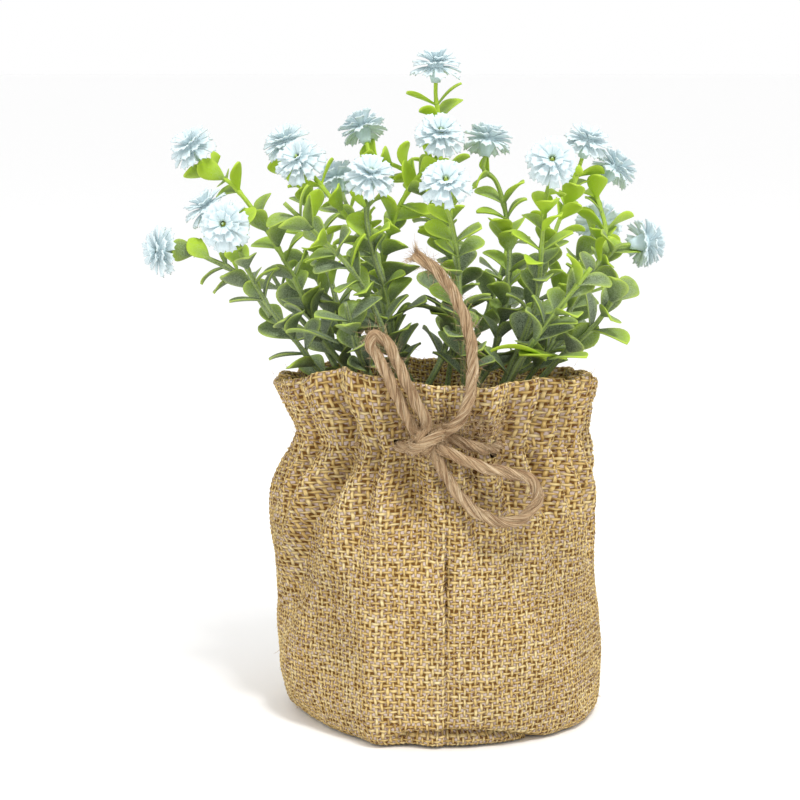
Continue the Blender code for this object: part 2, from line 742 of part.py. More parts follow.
def choose_leaf(sprig, station, outward):
    """The first way to hold the leaf that is clear of everything else, or None."""
    length = LEAF_LENGTH * sprig.leaf * (1.08 - 0.3 * station.share)
    width = length * LEAF_WIDTH / LEAF_LENGTH
    for lean, size in LEAF_TRIES:
        shape = (station.place, station.along, outward, length * size, width * size, lean)
        block = leaf_block(sprig.branch, station.place, leaf_rings(*shape, GAP))
        if not any(block.meets(other) for other in blocks):
            blocks.append(leaf_block(sprig.branch, station.place, leaf_rings(*shape, 0)))
            return leaf_rings(*shape, 0)
    return None


def grow(sprig):
    """The stem drawn out ring by ring, and then each leaf drawn out of a side of it."""
    found = stem_stations[sprig.name]
    bm = bmesh.new()
    face = bm.faces.new([bm.verts.new(corner) for corner in found[0].corners])
    roots = []
    for low, high in zip(found, found[1:]):
        face = draw_out(bm, face, high.corners)
        if low.opens_pair is None:
            continue
        sides = [side for edge in face.edges for side in edge.link_faces if side is not face]
        axis = low.across if low.opens_pair % 2 == 0 else low.out
        for outward in (axis, -axis):
            side = max(sides, key=lambda one: (one.calc_center_median() - low.place).dot(outward))
            roots.append((side, low, outward))
    for side, station, outward in roots:
        rings = choose_leaf(sprig, station, outward)
        if rings is None:
            continue
        centre = side.calc_center_median()
        across = station.along.cross(outward)
        order = []
        for vert in side.verts:
            right = (vert.co - centre).dot(across) > 0
            above = (vert.co - centre).dot(station.along) > 0
            order.append(RING_ORDER.index((1 if right else -1, 1 if above else -1)))
        for corners in rings:
            side = draw_out(bm, side, [corners[i] for i in order])
    bmesh.ops.holes_fill(bm, edges=[edge for edge in bm.edges if edge.is_boundary])
    add_object("sprig_" + sprig.name, mesh_from(bm, "sprig_" + sprig.name), leaf_plastic)


for sprig in SPRIGS:
    grow(sprig)
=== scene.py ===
import math
import random

import bpy
import numpy as np
from mathutils import Matrix, Vector
from mathutils.kdtree import KDTree


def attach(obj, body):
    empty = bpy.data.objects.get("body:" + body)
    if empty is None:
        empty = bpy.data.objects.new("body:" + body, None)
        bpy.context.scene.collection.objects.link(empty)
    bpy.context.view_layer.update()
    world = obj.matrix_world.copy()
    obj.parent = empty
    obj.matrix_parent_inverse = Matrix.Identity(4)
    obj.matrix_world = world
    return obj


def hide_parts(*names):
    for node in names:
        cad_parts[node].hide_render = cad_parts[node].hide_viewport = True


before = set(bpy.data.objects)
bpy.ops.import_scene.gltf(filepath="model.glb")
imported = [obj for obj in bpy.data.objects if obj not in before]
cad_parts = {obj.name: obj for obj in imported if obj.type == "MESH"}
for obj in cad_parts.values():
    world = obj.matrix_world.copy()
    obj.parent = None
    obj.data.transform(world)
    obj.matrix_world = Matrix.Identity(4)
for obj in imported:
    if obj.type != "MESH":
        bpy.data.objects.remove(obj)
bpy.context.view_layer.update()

# ---- View: a camera a little above the flowers, looking down at the bag by nine degrees, with a
# long lens as for a catalogue.

LOOKS_DOWN = 9.06  # degrees

camera = bpy.data.objects.new("camera", bpy.data.cameras.new("camera"))
bpy.context.scene.collection.objects.link(camera)
bpy.context.scene.camera = camera
camera.location = (-0.0116, -0.636, 0.196)
camera.rotation_euler = (math.radians(90 - LOOKS_DOWN), 0, 0)
camera.data.lens = 95.85
camera.data.sensor_width = 36

# ---- Side of the bag: one strip of burlap, plain-woven from slubby jute, rolled into a tube with a
# seam in front. Its top is turned in as a hem, and two rows of stitches make the channel for the
# drawstring, which gathers the neck into pleats and makes the collar above it flare.

MM = 0.001
THREAD = 1.55  # mm from one thread of the weave to the next
WARPS = 192
WEFTS = 88
SEAM_TURN = 271.8  # degrees round from +X

# Height, and the reach of the cloth to the right, back, left and front, in mm.
BAG_GIRTHS = [
    (0, 48.6, 45.4, 44.4, 45.8),
    (7, 49.4, 47.2, 47.4, 47.4),
    (20, 49.0, 48.0, 49.7, 48.0),
    (45, 47.4, 48.0, 48.9, 48.2),
    (64, 46.4, 48.0, 49.6, 48.4),
    (76, 45.4, 46.4, 46.2, 46.6),
    (86, 44.0, 43.4, 42.6, 43.6),
    (95, 45.8, 45.4, 46.8, 46.4),
    (104, 47.4, 47.2, 50.2, 49.6),
    (112, 48.0, 47.8, 51.2, 50.6),
]
# Height of the rim at every 30 degrees round from +X.
RIM_HEIGHTS = [102.2, 101.6, 101.2, 101.4, 101.0, 101.6, 101.4, 104.6, 110.4, 106.0, 107.4, 105.2]
NECK_HEIGHT = 86.0
NECK_ALONG = 87.5  # the cloth from the base to the middle of the channel
RIM_ALONG = 105.0  # and to where it starts to turn in
RIM_BEND = 1.1  # radius of the turn
CHANNEL_ROOM = 4.4  # how far the hem stands in from the outer cloth, round the drawstring
STITCH_HEIGHTS = (79.6, 94.6)
PUCKER = 0.5  # how far a row of stitches draws the cloth in
TWINE_ROOM = 2.4  # the most that a pleat sinks at the neck, where it meets the drawstring
RIDGE_SHARE = 0.36  # of a pleat's depth that its two sides stand up
SEAM_DEPTH = 2.6  # of the seam's deepest stretch, which is round SEAM_DEEPEST
SEAM_DEEPEST = 46
CREASE_HEIGHT = 5.2  # of the crease where the side is folded under the bottom panel's edge
CREASE_DEPTH = 1.2
POT_TOP = 65.0  # the pot that the cloth leans on
POT_RADII = (42.0, 45.0)  # at its foot and its top

# Dents and bulges: turn, height, how far each way in degrees and mm, amount.
BAG_DENTS = [
    (208, 0, 15, 8, -2.6),
    (248, 0, 7, 22, 2.2),
    (246, 26, 5, 30, 1.7),
    (226, 26, 11, 26, -1.7),
    (336, 2, 16, 12, 0.8),
    (240, 108, 17, 10, 3.2),
    (299, 106, 12, 9, 1.8),
    (268, 104, 10, 9, -1.2),
    (190, 62, 14, 16, 1.2),
    (186, 34, 15, 9, -1.0),
    (30, 30, 24, 20, 0.8),
    (110, 55, 20, 20, 0.9),
    (150, 20, 16, 16, -0.8),
]

# Pleats: turn at the neck, drift in degrees going down, depth, half-width in degrees, and how far
# the pleat runs down and up from the neck.
BAG_PLEATS = [
    (197, -6, 2.6, 3.4, 24, 22),
    (214, -10, 4.0, 3.0, 24, 34),
    (234, -27, 7.4, 4.4, 44, 40),
    (246, -5, 2.6, 2.0, 26, 26),
    (257, 7, 8.0, 4.2, 26, 36),
    (271, 2, 2.2, 2.4, 14, 24),
    (281, 3, 4.2, 2.6, 26, 30),
    (294, 5, 5.4, 3.6, 26, 26),
    (306, 9, 6.8, 3.4, 30, 40),
    (318, 6, 3.8, 2.4, 24, 30),
    (330, 9, 5.0, 3.0, 32, 34),
    (346, 6, 2.6, 3.0, 24, 24),
    (2, -4, 3.4, 3.4, 28, 28),
    (19, 5, 2.4, 3.0, 22, 20),
    (35, -6, 4.0, 3.4, 30, 28),
    (53, 6, 2.6, 3.0, 22, 22),
    (70, -3, 4.2, 3.4, 30, 26),
    (88, 5, 2.6, 3.2, 24, 26),
    (106, -6, 4.4, 3.4, 28, 26),
    (123, 4, 2.6, 3.0, 22, 24),
    (141, -5, 4.0, 3.4, 30, 28),
    (158, 4, 2.6, 3.0, 24, 20),
    (175, -3, 3.6, 3.2, 28, 26),
]

WAVE_PER_100 = 0.0628  # radians for each mm of height
# Soft wrinkles: waves round the bag, waves per 100 mm of height, and amount.
BAG_WRINKLES = [
    (3, 0.9, 0.35), (5, -1.3, 0.30), (7, 1.6, 0.24), (9, -2.3, 0.18), (13, 2.9, 0.13),
    (17, -3.7, 0.12), (23, 4.6, 0.10), (31, -5.5, 0.08), (41, 2.0, 0.06),
]


def smooth_through(at, places, values):
    """Values at some places of the smooth curve through the given ones."""
    places = np.asarray(places, float)
    values = np.asarray(values, float)
    slopes = np.gradient(values, places)
    i = np.clip(np.searchsorted(places, at) - 1, 0, len(places) - 2)
    gap = places[i + 1] - places[i]
    t = np.clip((at - places[i]) / gap, 0, 1)
    return (
        (2 * t**3 - 3 * t**2 + 1) * values[i] + (t**3 - 2 * t**2 + t) * gap * slopes[i]
        + (3 * t**2 - 2 * t**3) * values[i + 1] + (t**3 - t**2) * gap * slopes[i + 1]
    )


def degrees_from(turn, other):
    """The shorter way round from one turn to another, from -180 to 180."""
    return (turn - other + 180) % 360 - 180


def bell(distance, width):
    """From 1 in the middle, falling smoothly to 0 on both sides."""
    return np.exp(-((distance / width) ** 2))


def bag_reach(turn, height):
    """How far the cloth is from the bag's axis, without the weave's own relief."""
    heights = [row[0] for row in BAG_GIRTHS]
    right, back, left, front = (
        smooth_through(height, heights, [row[1 + side] for row in BAG_GIRTHS]) for side in range(4)
    )
    across = np.cos(np.radians(turn))
    deep = np.sin(np.radians(turn))
    reach = np.where(across > 0, right, left) * across**2 + np.where(deep > 0, back, front) * deep**2
    for at, up, wide, tall, amount in BAG_DENTS:
        reach = reach + amount * bell(degrees_from(turn, at), wide) * bell(height - up, tall)
    for at, drift, depth, wide, down, up in BAG_PLEATS:
        below = np.clip((NECK_HEIGHT - height) / down, 0, 1.6)
        above = np.clip((height - NECK_HEIGHT) / up, 0, 1)
        fade = np.clip(1.6 - below, 0, 1) ** 1.5 * (1 - 0.6 * above)
        sunk = np.minimum(depth * fade, TWINE_ROOM + 0.7 * np.abs(height - NECK_HEIGHT))
        off = degrees_from(turn, at + drift * below) / (wide * (1 + 0.5 * below))
        ridges = bell(off - 1.9, 1) + bell(off + 1.9, 1)
        reach = reach + sunk * (RIDGE_SHARE * ridges - np.exp(-np.abs(off) ** 1.5))
    for round_waves, up_waves, amount in BAG_WRINKLES:
        wave = np.radians(turn) * round_waves + height * up_waves * WAVE_PER_100 + 1.7 * round_waves
        reach = reach + amount * np.sin(wave + 0.8 * np.sin(np.radians(turn) * 2 + height * 0.05))
    for row in STITCH_HEIGHTS:
        pucker = 1 + 0.5 * np.sin(np.radians(turn) * 47)
        reach = reach - PUCKER * pucker * bell(height - row, 1.1)
    from_seam = degrees_from(turn, SEAM_TURN)
    from_fold = from_seam + 0.5 * np.sin(height * 0.45) + 0.25 * np.sin(height * 1.3)
    seam_depth = 0.7 + SEAM_DEPTH * bell(height - SEAM_DEEPEST, 12)
    seam_depth = 0.25 + seam_depth * np.exp(-np.abs(from_fold) / 0.8)
    seam_depth = seam_depth * np.clip((84 - height) / 6, 0, 1)
    reach = reach - seam_depth * bell(from_fold, 2.0)
    seam_lap = np.where(from_seam < 0, 0.7, -0.25) * bell(from_seam, 7)
    reach = reach + seam_lap * np.clip((80 - height) / 20, 0, 1)
    strip = np.clip((from_seam + 22) / 8, 0, 1) * np.clip((42 - from_seam) / 8, 0, 1)
    crease = CREASE_HEIGHT - 0.004 * (from_seam - 2) ** 2
    under_crease = np.clip(crease + 0.4 - height, 0, 1) + 3.4 * bell(height - crease, 0.85)
    reach = reach - CREASE_DEPTH * strip * under_crease
    # The cloth leans on the pot and can't sink into it.
    on_pot = 0.6 + np.interp(height, (0, POT_TOP, POT_TOP + 8), (*POT_RADII, POT_RADII[1] - 6))
    reach = on_pot + np.logaddexp(0, 3 * (reach - on_pot)) / 3
    return reach - 2.2 * np.clip(1 - height / 3.0, 0, 1) ** 2


def side_cloth(turn, along):
    """Points of the side panel, in mm: turn in degrees, along in mm of cloth up from the base."""
    bend_length = math.pi * RIM_BEND
    turned_in = np.clip(along - RIM_ALONG, 0, bend_length)
    outer = np.where(along > RIM_ALONG + bend_length, 2 * RIM_ALONG + bend_length - along, along)
    outer = np.minimum(outer, RIM_ALONG)
    round_places = np.arange(-1, 14) * 30.0
    rim = smooth_through(turn % 360, round_places, [RIM_HEIGHTS[i % 12] for i in range(-1, 14)])
    rim = rim - RIM_BEND + 0.5 * np.sin(np.radians(turn) * 11) + 0.35 * np.sin(np.radians(turn) * 29)
    low = outer * NECK_HEIGHT / NECK_ALONG
    high = NECK_HEIGHT + (outer - NECK_ALONG) / (RIM_ALONG - NECK_ALONG) * (rim - NECK_HEIGHT)
    height = np.where(outer < NECK_ALONG, low, high)
    angle = turned_in / RIM_BEND
    inward = RIM_BEND * (1 - np.cos(angle))
    hem = along > RIM_ALONG + bend_length
    inward = inward + np.where(hem, CHANNEL_ROOM * np.exp(-(((height - NECK_HEIGHT) / 5.2) ** 4)), 0)
    reach = bag_reach(turn, height) - inward
    height = height + RIM_BEND * np.sin(angle)
    turn = np.radians(turn)
    return np.stack([reach * np.cos(turn), reach * np.sin(turn), height], axis=-1)


def grid_faces(columns, rows):
    """Quads of a grid of points, row after row."""
    start = (np.arange(rows - 1)[:, None] * columns + np.arange(columns - 1)[None, :]).ravel()
    return np.stack([start, start + 1, start + columns + 1, start + columns], axis=1).tolist()


def new_piece(name, points, faces, finish, body):
    """A smooth mesh of points in mm that rides on a body."""
    mesh = bpy.data.meshes.new(name)
    mesh.from_pydata((np.asarray(points) * MM).tolist(), [], faces)
    mesh.shade_smooth()
    mesh.materials.append(finish)
    piece = bpy.data.objects.new(name, mesh)
    bpy.context.scene.collection.objects.link(piece)
    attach(piece, body)
    return piece


def add_values(piece, name, values):
    """One number for each point of the piece, for its material to read."""
    made = piece.data.attributes.new(name, "FLOAT", "POINT")
    made.data.foreach_set("value", np.asarray(values, np.float32))


def add_map(piece, name, places):
    """A UV map from two numbers for each point, such as its place in the cloth in threads."""
    corner = np.zeros(len(piece.data.loops), np.int32)
    piece.data.loops.foreach_get("vertex_index", corner)
    made = piece.data.uv_layers.new(name=name)
    made.data.foreach_set("uv", np.asarray(places, np.float32)[corner].ravel())


def linear(code):
    """An sRGB colour such as "C08A4B" as linear red, green, blue and 1."""
    parts = [int(code[i : i + 2], 16) / 255 for i in (0, 2, 4)]
    return (*[c / 12.92 if c <= 0.04045 else ((c + 0.055) / 1.055) ** 2.4 for c in parts], 1)


def add_node(tree, kind, inputs, **settings):
    """A node with its settings. An input is a number, a colour, a node or one of a node's outputs."""
    node = tree.nodes.new("ShaderNode" + kind)
    for name, value in settings.items():
        setattr(node, name, value)
    for socket, value in inputs.items():
        if isinstance(value, bpy.types.Node):
            value = value.outputs[0]
        if isinstance(value, bpy.types.NodeSocket):
            tree.links.new(value, node.inputs[socket])
        else:
            node.inputs[socket].default_value = value
    return node


def new_finish(name, **settings):
    """A material whose Principled shader has these values: the material, its tree and its shader."""
    made = bpy.data.materials.new(name)
    made.use_nodes = True
    shader = made.node_tree.nodes["Principled BSDF"]
    for socket, value in settings.items():
        shader.inputs[socket.replace("_", " ")].default_value = value
    return made, made.node_tree, shader


def set_stops(ramp, *stops):
    """Gives a colour ramp its stops, each a position and a colour, from low to high."""
    elements = ramp.color_ramp.elements
    while len(elements) < len(stops):
        elements.new(1.0)
    for element, (position, code) in zip(elements, stops):
        element.position = position
        element.color = linear(code)


def link_looks(tree, shader, colour, relief, strength, depth):
    """Gives a shader its colour, and a relief that is depth mm deep."""
    tree.links.new(colour, shader.inputs["Base Color"])
    bump = add_node(tree, "Bump", {"Height": relief, "Strength": strength, "Distance": depth * MM})
    tree.links.new(bump.outputs[0], shader.inputs["Normal"])


# Burlap is matt and straw-coloured. Each cell of the plain weave shows the warp or the weft on top, rounded,
# with painted light on its crown and painted shade where it dives, and the holes are painted: painted shade
# and the pale pot as if seen through them.
burlap, tree, shader = new_finish("woven_jute_burlap", Roughness=0.92, Specular_IOR_Level=0.18)
threads = add_node(tree, "UVMap", {}, uv_map="threads")
wander = add_node(tree, "TexNoise", {"Vector": threads, "Scale": 0.31, "Detail": 3.0})
wander = add_node(tree, "VectorMath", {0: wander.outputs["Color"], 1: (0.5, 0.5, 0.5)}, operation="SUBTRACT")
wander = add_node(tree, "VectorMath", {0: wander, "Scale": 1.1}, operation="SCALE")
wander = add_node(tree, "VectorMath", {0: threads, 1: wander}, operation="ADD")
place = add_node(tree, "SeparateXYZ", {0: wander})
crowns = []
tints = []
for own, other, flip, seed in ((0, 1, 1.0, 3.7), (1, 0, -1.0, 51.3)):
    number = add_node(tree, "Math", {0: place.outputs[own]}, operation="FLOOR")
    inside = add_node(tree, "Math", {0: place.outputs[own]}, operation="FRACT")
    inside = add_node(tree, "Math", {0: inside, 1: 0.5}, operation="SUBTRACT")
    spin = add_node(tree, "Math", {0: number, 1: math.pi, 2: math.pi / 2}, operation="MULTIPLY_ADD")
    spin = add_node(tree, "Math", {0: spin}, operation="SINE")
    wave = add_node(tree, "Math", {0: place.outputs[other], 1: math.pi}, operation="MULTIPLY")
    wave = add_node(tree, "Math", {0: wave}, operation="SINE")
    over = add_node(tree, "Math", {0: spin, 1: wave}, operation="MULTIPLY")
    over = add_node(tree, "Math", {0: over, 1: 0.42 * flip, 2: 0.58}, operation="MULTIPLY_ADD")
    slub_place = add_node(tree, "CombineXYZ", {0: number, 1: place.outputs[other], 2: seed})
    slub_place = add_node(tree, "VectorMath", {0: slub_place, 1: (7.31, 0.24, 1.0)}, operation="MULTIPLY")
    slub = add_node(tree, "TexNoise", {"Vector": slub_place, "Scale": 1.0, "Detail": 2.0})
    half = add_node(tree, "Math", {0: slub, 1: 0.2, 2: 0.13}, operation="MULTIPLY_ADD")
    rise = add_node(tree, "Math", {0: inside, 1: half}, operation="DIVIDE")
    rise = add_node(tree, "Math", {0: rise, 1: rise}, operation="MULTIPLY")
    rise = add_node(tree, "Math", {0: 1.0, 1: rise}, operation="SUBTRACT", use_clamp=True)
    rise = add_node(tree, "Math", {0: rise, 1: 0.5}, operation="POWER")
    crowns.append(add_node(tree, "Math", {0: rise, 1: over}, operation="MULTIPLY"))
    fibre_place = add_node(tree, "CombineXYZ", {0: place.outputs[own], 1: place.outputs[other], 2: seed})
    fibre_place = add_node(tree, "VectorMath", {0: fibre_place, 1: (7.0, 0.6, 1.0)}, operation="MULTIPLY")
    fibre = add_node(tree, "TexNoise", {"Vector": fibre_place, "Scale": 1.0, "Detail": 3.0})
    shade = add_node(tree, "TexWhiteNoise", {"W": number}, noise_dimensions="1D")
    shade = add_node(tree, "Math", {0: shade, 1: 0.16, 2: -0.08}, operation="MULTIPLY_ADD")
    shade = add_node(tree, "Math", {0: slub, 1: 0.5, 2: shade}, operation="MULTIPLY_ADD")
    shade = add_node(tree, "Math", {0: shade, 1: 0.34}, operation="ADD")
    tints.append(add_node(tree, "Math", {0: fibre, 1: 0.4, 2: shade}, operation="MULTIPLY_ADD"))
warp_on_top = add_node(tree, "Math", {0: crowns[0], 1: crowns[1]}, operation="GREATER_THAN")
weave_height = add_node(tree, "Math", {0: crowns[0], 1: crowns[1]}, operation="MAXIMUM")
tint = add_node(tree, "Mix", {0: warp_on_top, 2: tints[1], 3: tints[0]})
straw = add_node(tree, "ValToRGB", {0: tint})
set_stops(straw, (0.52, "B08A4C"), (0.76, "E0C07A"), (1.0, "FBE9B4"))
# The gaps between the threads wander by noise between painted shade, dark brown, and the pale pot painted as
# if seen through them.
gap_shade_and_pot_glimpse = add_node(tree, "TexNoise", {"Vector": threads, "Scale": 0.9, "Detail": 2.0})
gap_shade_and_pot_glimpse = add_node(tree, "MapRange", {0: gap_shade_and_pot_glimpse, 1: 0.46, 2: 0.58})
gap_shade_and_pot_glimpse = add_node(tree, "Mix", {0: gap_shade_and_pot_glimpse, 6: linear("6E4B22"), 7: linear("CCB8AC")}, data_type="RGBA")
solid = add_node(tree, "MapRange", {0: weave_height, 1: 0.02, 2: 0.22})
# Painted light and shade on each thread: full straw on its crown, painted shade in dark brown down its sides
# where it dives.
painted_thread_shading = add_node(tree, "MapRange", {0: weave_height, 1: 0.2, 2: 0.8, 3: 0.3, 4: 1.0})
thread = add_node(tree, "Mix", {0: painted_thread_shading, 6: linear("654419"), 7: straw}, data_type="RGBA")
woven = add_node(tree, "Mix", {0: solid, 6: gap_shade_and_pot_glimpse.outputs[2], 7: thread.outputs[2]}, data_type="RGBA")
patch = add_node(tree, "TexNoise", {"Vector": threads, "Scale": 0.045, "Detail": 3.0})
patch = add_node(tree, "MapRange", {0: patch, 1: 0.3, 2: 0.7, 3: 0.78, 4: 1.0})
woven = add_node(tree, "VectorMath", {0: woven.outputs[2], "Scale": patch}, operation="SCALE")
relief = add_node(tree, "Math", {0: tint, 1: 0.35, 2: weave_height}, operation="MULTIPLY_ADD")
link_looks(tree, shader, woven.outputs[0], relief, 0.9, 0.55)

# Two points for each thread, so that every crossing can stand up or sink.
columns = np.arange(2 * WARPS + 1)
rows = np.arange(2 * WEFTS + 1)
turns, alongs = np.meshgrid(SEAM_TURN + columns / (2 * WARPS) * 360, rows / 2 * THREAD)
side_points = side_cloth(turns, alongs)
round_the_bag = np.gradient(side_points, axis=1)
up_the_bag = np.gradient(side_points, axis=0)
side_normals = np.cross(round_the_bag, up_the_bag)
side_normals = side_normals / np.maximum(np.linalg.norm(side_normals, axis=-1, keepdims=True), 1e-12)
on_warp = (columns % 2)[None, :]
on_weft = (rows % 2)[:, None]
weave_relief = 0.2 * on_warp * on_weft - 0.26 * (1 - on_warp) * (1 - on_weft)
from_border = np.minimum(columns, 2 * WARPS - columns)
weave_relief = weave_relief * np.clip(from_border / 3, 0, 1)[None, :]
wobble = np.sin(turns * 2.3) * np.sin(alongs * 1.9) * 0.06
woven_points = (side_points + side_normals * (weave_relief + wobble)[..., None]).reshape(-1, 3)

# The twine leaves the channel through two slits in front, so the outer cloth is open there.
SLITS = [(-11.5, -42.6, 88.2), (14.8, -41.0, 87.7)]
SLIT_REACH = 2.5
cloth_faces = []
for face in grid_faces(len(columns), len(rows)):
    centre = woven_points[face].mean(axis=0)
    in_slit = any(np.linalg.norm((centre - slit) * (1, 1, 0.8)) < SLIT_REACH for slit in SLITS)
    in_hem = face[0] > len(columns) * 2 * RIM_ALONG / THREAD
    if in_hem or not in_slit:
        cloth_faces.append(face)
bag_side = new_piece("bag_side", woven_points, cloth_faces, burlap, "bag")
add_map(bag_side, "threads", np.stack(np.meshgrid(columns / 2, rows / 2), axis=-1).reshape(-1, 2))
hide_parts("bag_side_panel")

# ---- Bottom of the bag: a disc of the same burlap, sewn in along its edge.

DISC_RINGS = 56
DISC_SPOKES = 193

disc_turn, disc_share = np.meshgrid(np.linspace(0, 360, DISC_SPOKES), np.linspace(0.02, 1, DISC_RINGS))
disc_reach = disc_share * (bag_reach(disc_turn, 0 * disc_turn) - 0.4)
disc_points = np.stack(
    [
        disc_reach * np.cos(np.radians(disc_turn)),
        disc_reach * np.sin(np.radians(disc_turn)),
        0.25 + 0.12 * np.sin(disc_turn * 1.3) * disc_share,
    ],
    axis=-1,
).reshape(-1, 3)
disc_faces = grid_faces(DISC_SPOKES, DISC_RINGS)
bag_bottom = new_piece("bag_bottom", disc_points, disc_faces, burlap, "bag")
add_map(bag_bottom, "threads", disc_points[:, :2] / THREAD)
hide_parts("bag_bottom_panel")

# ---- Pot, foam and crown: a thin white polypropylene pot, a block of white bead foam pressed into
# it, and the moulded crown with a socket for each branch.


def mottled(tree, scale, detail, dark, light):
    """A colour that wanders between two, in clouds about 1 m / scale across, and the place it reads."""
    place = add_node(tree, "TexCoord", {}).outputs["Object"]
    clouds = add_node(tree, "TexNoise", {"Vector": place, "Scale": scale, "Detail": detail})
    mixed = add_node(tree, "Mix", {0: clouds, 6: linear(dark), 7: linear(light)}, data_type="RGBA")
    return mixed.outputs[2], place


# The pot's white plastic is satin, with faint scuffs and the fine grain of its mould.
polypropylene, tree, shader = new_finish("moulded_polypropylene", Roughness=0.42, IOR=1.49)
scuffed, place = mottled(tree, 900.0, 5.0, "D9DCDA", "F1F2EF")
grain = add_node(tree, "TexNoise", {"Vector": place, "Scale": 3000.0})
link_looks(tree, shader, scuffed, grain, 0.15, 0.05)

# Bead foam shows its beads, 2 to 3 mm across, pressed against each other with darker lines between.
bead_foam, tree, shader = new_finish("expanded_polystyrene", Roughness=0.85, IOR=1.55)
place = add_node(tree, "TexCoord", {}).outputs["Object"]
beads = add_node(tree, "TexVoronoi", {"Vector": place, "Scale": 420.0}, feature="DISTANCE_TO_EDGE")
joints = add_node(tree, "MapRange", {0: beads, 1: 0.0, 2: 0.12})
foam = add_node(tree, "Mix", {0: joints, 6: linear("D6D8CF"), 7: linear("ECEDE6")}, data_type="RGBA")
link_looks(tree, shader, foam.outputs[2], joints, 0.6, 0.4)

# The crown is plain dark green, moulded and uneven in colour.
green_base, tree, shader = new_finish("moulded_green_polyethylene", Roughness=0.55, IOR=1.51)
tree.links.new(mottled(tree, 700.0, 4.0, "2F3D22", "5E7048")[0], shader.inputs["Base Color"])

for node, finish, slot in (
    ("inner_pot", polypropylene, "pot"),
    ("foam_block", bead_foam, "foam"),
    ("stem_crown", green_base, "foliage"),
):
    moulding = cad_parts[node]
    moulding.data.materials.clear()
    moulding.data.materials.append(finish)

# ---- Drawstring: natural jute twine of three plies, twisted and hairy. It runs in the channel round
# the neck, comes out through two slits in front, and is tied there in a bow with one short end.

TWINE = 3.5  # mm across
PLY_REACH = 0.86  # from the middle of the twine to the middle of a ply
PLY_RADIUS = 0.92
PLY_PITCH = 22.0  # mm of twine for one turn of its plies
PLY_SIDES = 10
RING_RADIUS = 39.25  # of the run round the neck
RING_FROM = -50  # turn at which the run starts
RING_ROUND = 287  # degrees that it goes round
RING_POINTS = 22
NECK_FRONT = (0.0, -43.2, 86.0)
KNOT = (-4.0, -6.6, 5.2)  # from the front of the neck
INTO_KNOT = 0.45  # share of the way to its middle that the ends of the free twine go
KNOT_WINDING = 7.4  # radians that each of the knot's turns goes round
KNOT_STEPS = 24
HAIR_RADIUS = 0.075
HAIR_STEPS = 5
HAIRS_OF_PART = 260  # loose fibres on each loop and on the end
HAIRS_OF_TUFT = 110  # at the frayed tip
HAIRS_OF_TURN = 120  # on each turn of the knot
HAIRS_SHED = 170

# Jute fibres are matt and run with the twist, pale where they catch the light.
jute, tree, shader = new_finish("twisted_jute_fibre", Roughness=0.88, Specular_IOR_Level=0.2)
lay = add_node(tree, "UVMap", {}, uv_map="lay")
strands = add_node(tree, "VectorMath", {0: lay, 1: (0.16, 3.4, 1.0)}, operation="MULTIPLY")
strands = add_node(tree, "TexNoise", {"Vector": strands, "Scale": 1.0, "Detail": 4.0, "Roughness": 0.65})
clumps = add_node(tree, "VectorMath", {0: lay, 1: (0.09, 0.9, 1.0)}, operation="MULTIPLY")
clumps = add_node(tree, "TexNoise", {"Vector": clumps, "Scale": 1.0, "Detail": 2.0})
fleck = add_node(tree, "Math", {0: clumps, 1: 0.5, 2: -0.25}, operation="MULTIPLY_ADD")
fleck = add_node(tree, "Math", {0: strands, 1: fleck}, operation="ADD")
fibre_colour = add_node(tree, "ValToRGB", {0: fleck})
set_stops(fibre_colour, (0.34, "7C5E42"), (0.5, "BD9E79"), (0.66, "DEC9A6"))
link_looks(tree, shader, fibre_colour.outputs[0], strands, 1.0, 0.8)


def by_neck(x, y, z):
    """A point in mm from the front of the neck, outward along -Y."""
    return Vector((NECK_FRONT[0] + x, NECK_FRONT[1] + y, NECK_FRONT[2] + z))


def between(side, other, angle):
    """The direction at this angle from one direction towards another at right angles to it."""
    return side * math.cos(angle) + other * math.sin(angle)


def smooth_line(points, per_span):
    """Points on the smooth curve through the given ones (a centripetal Catmull-Rom curve)."""
    ends = [2 * points[0] - points[1], *points, 2 * points[-1] - points[-2]]
    line = []
    for p0, p1, p2, p3 in zip(ends, ends[1:], ends[2:], ends[3:]):
        t1 = (p1 - p0).length ** 0.5
        t2 = t1 + (p2 - p1).length ** 0.5
        t3 = t2 + (p3 - p2).length ** 0.5
        for i in range(per_span):
            t = t1 + (t2 - t1) * i / per_span
            a1 = p0.lerp(p1, t / t1)
            a2 = p1.lerp(p2, (t - t1) / (t2 - t1))
            a3 = p2.lerp(p3, (t - t2) / (t3 - t2))
            b1 = a1.lerp(a2, t / t2)
            b2 = a2.lerp(a3, (t - t1) / (t3 - t1))
            line.append(b1.lerp(b2, (t - t1) / (t2 - t1)))
    line.append(points[-1])
    return line


def framed(line):
    """(point, along, across, out, distance) for each point of a line, turning as little as it can."""
    found = []
    across = Vector((0, 0, 1)) if abs((line[1] - line[0]).normalized().z) < 0.9 else Vector((1, 0, 0))
    distance = 0
    for i, point in enumerate(line):
        along = (line[min(i + 1, len(line) - 1)] - line[max(i - 1, 0)]).normalized()
        across = (across - along * across.dot(along)).normalized()
        if i:
            distance += (point - line[i - 1]).length
        found.append((point, along, across, along.cross(across), distance))
    return found


class Surface:
    """Points, faces and per-point values of one mesh in the making."""

    def __init__(self):
        self.points = []
        self.faces = []
        self.values = []

    def tube(self, rings, values):
        """Skin over rings of as many points each, closed at both ends."""
        sides = len(rings[0])
        start = len(self.points)
        for ring_points, value in zip(rings, values):
            self.points += ring_points
            self.values += [value] * sides if not isinstance(value, list) else value
        for i in range(len(rings) - 1):
            for j in range(sides):
                a = start + i * sides + j
                b = start + i * sides + (j + 1) % sides
                self.faces.append((a, b, b + sides, a + sides))
        self.faces.append(tuple(start + j for j in reversed(range(sides))))
        self.faces.append(tuple(start + (len(rings) - 1) * sides + j for j in range(sides)))


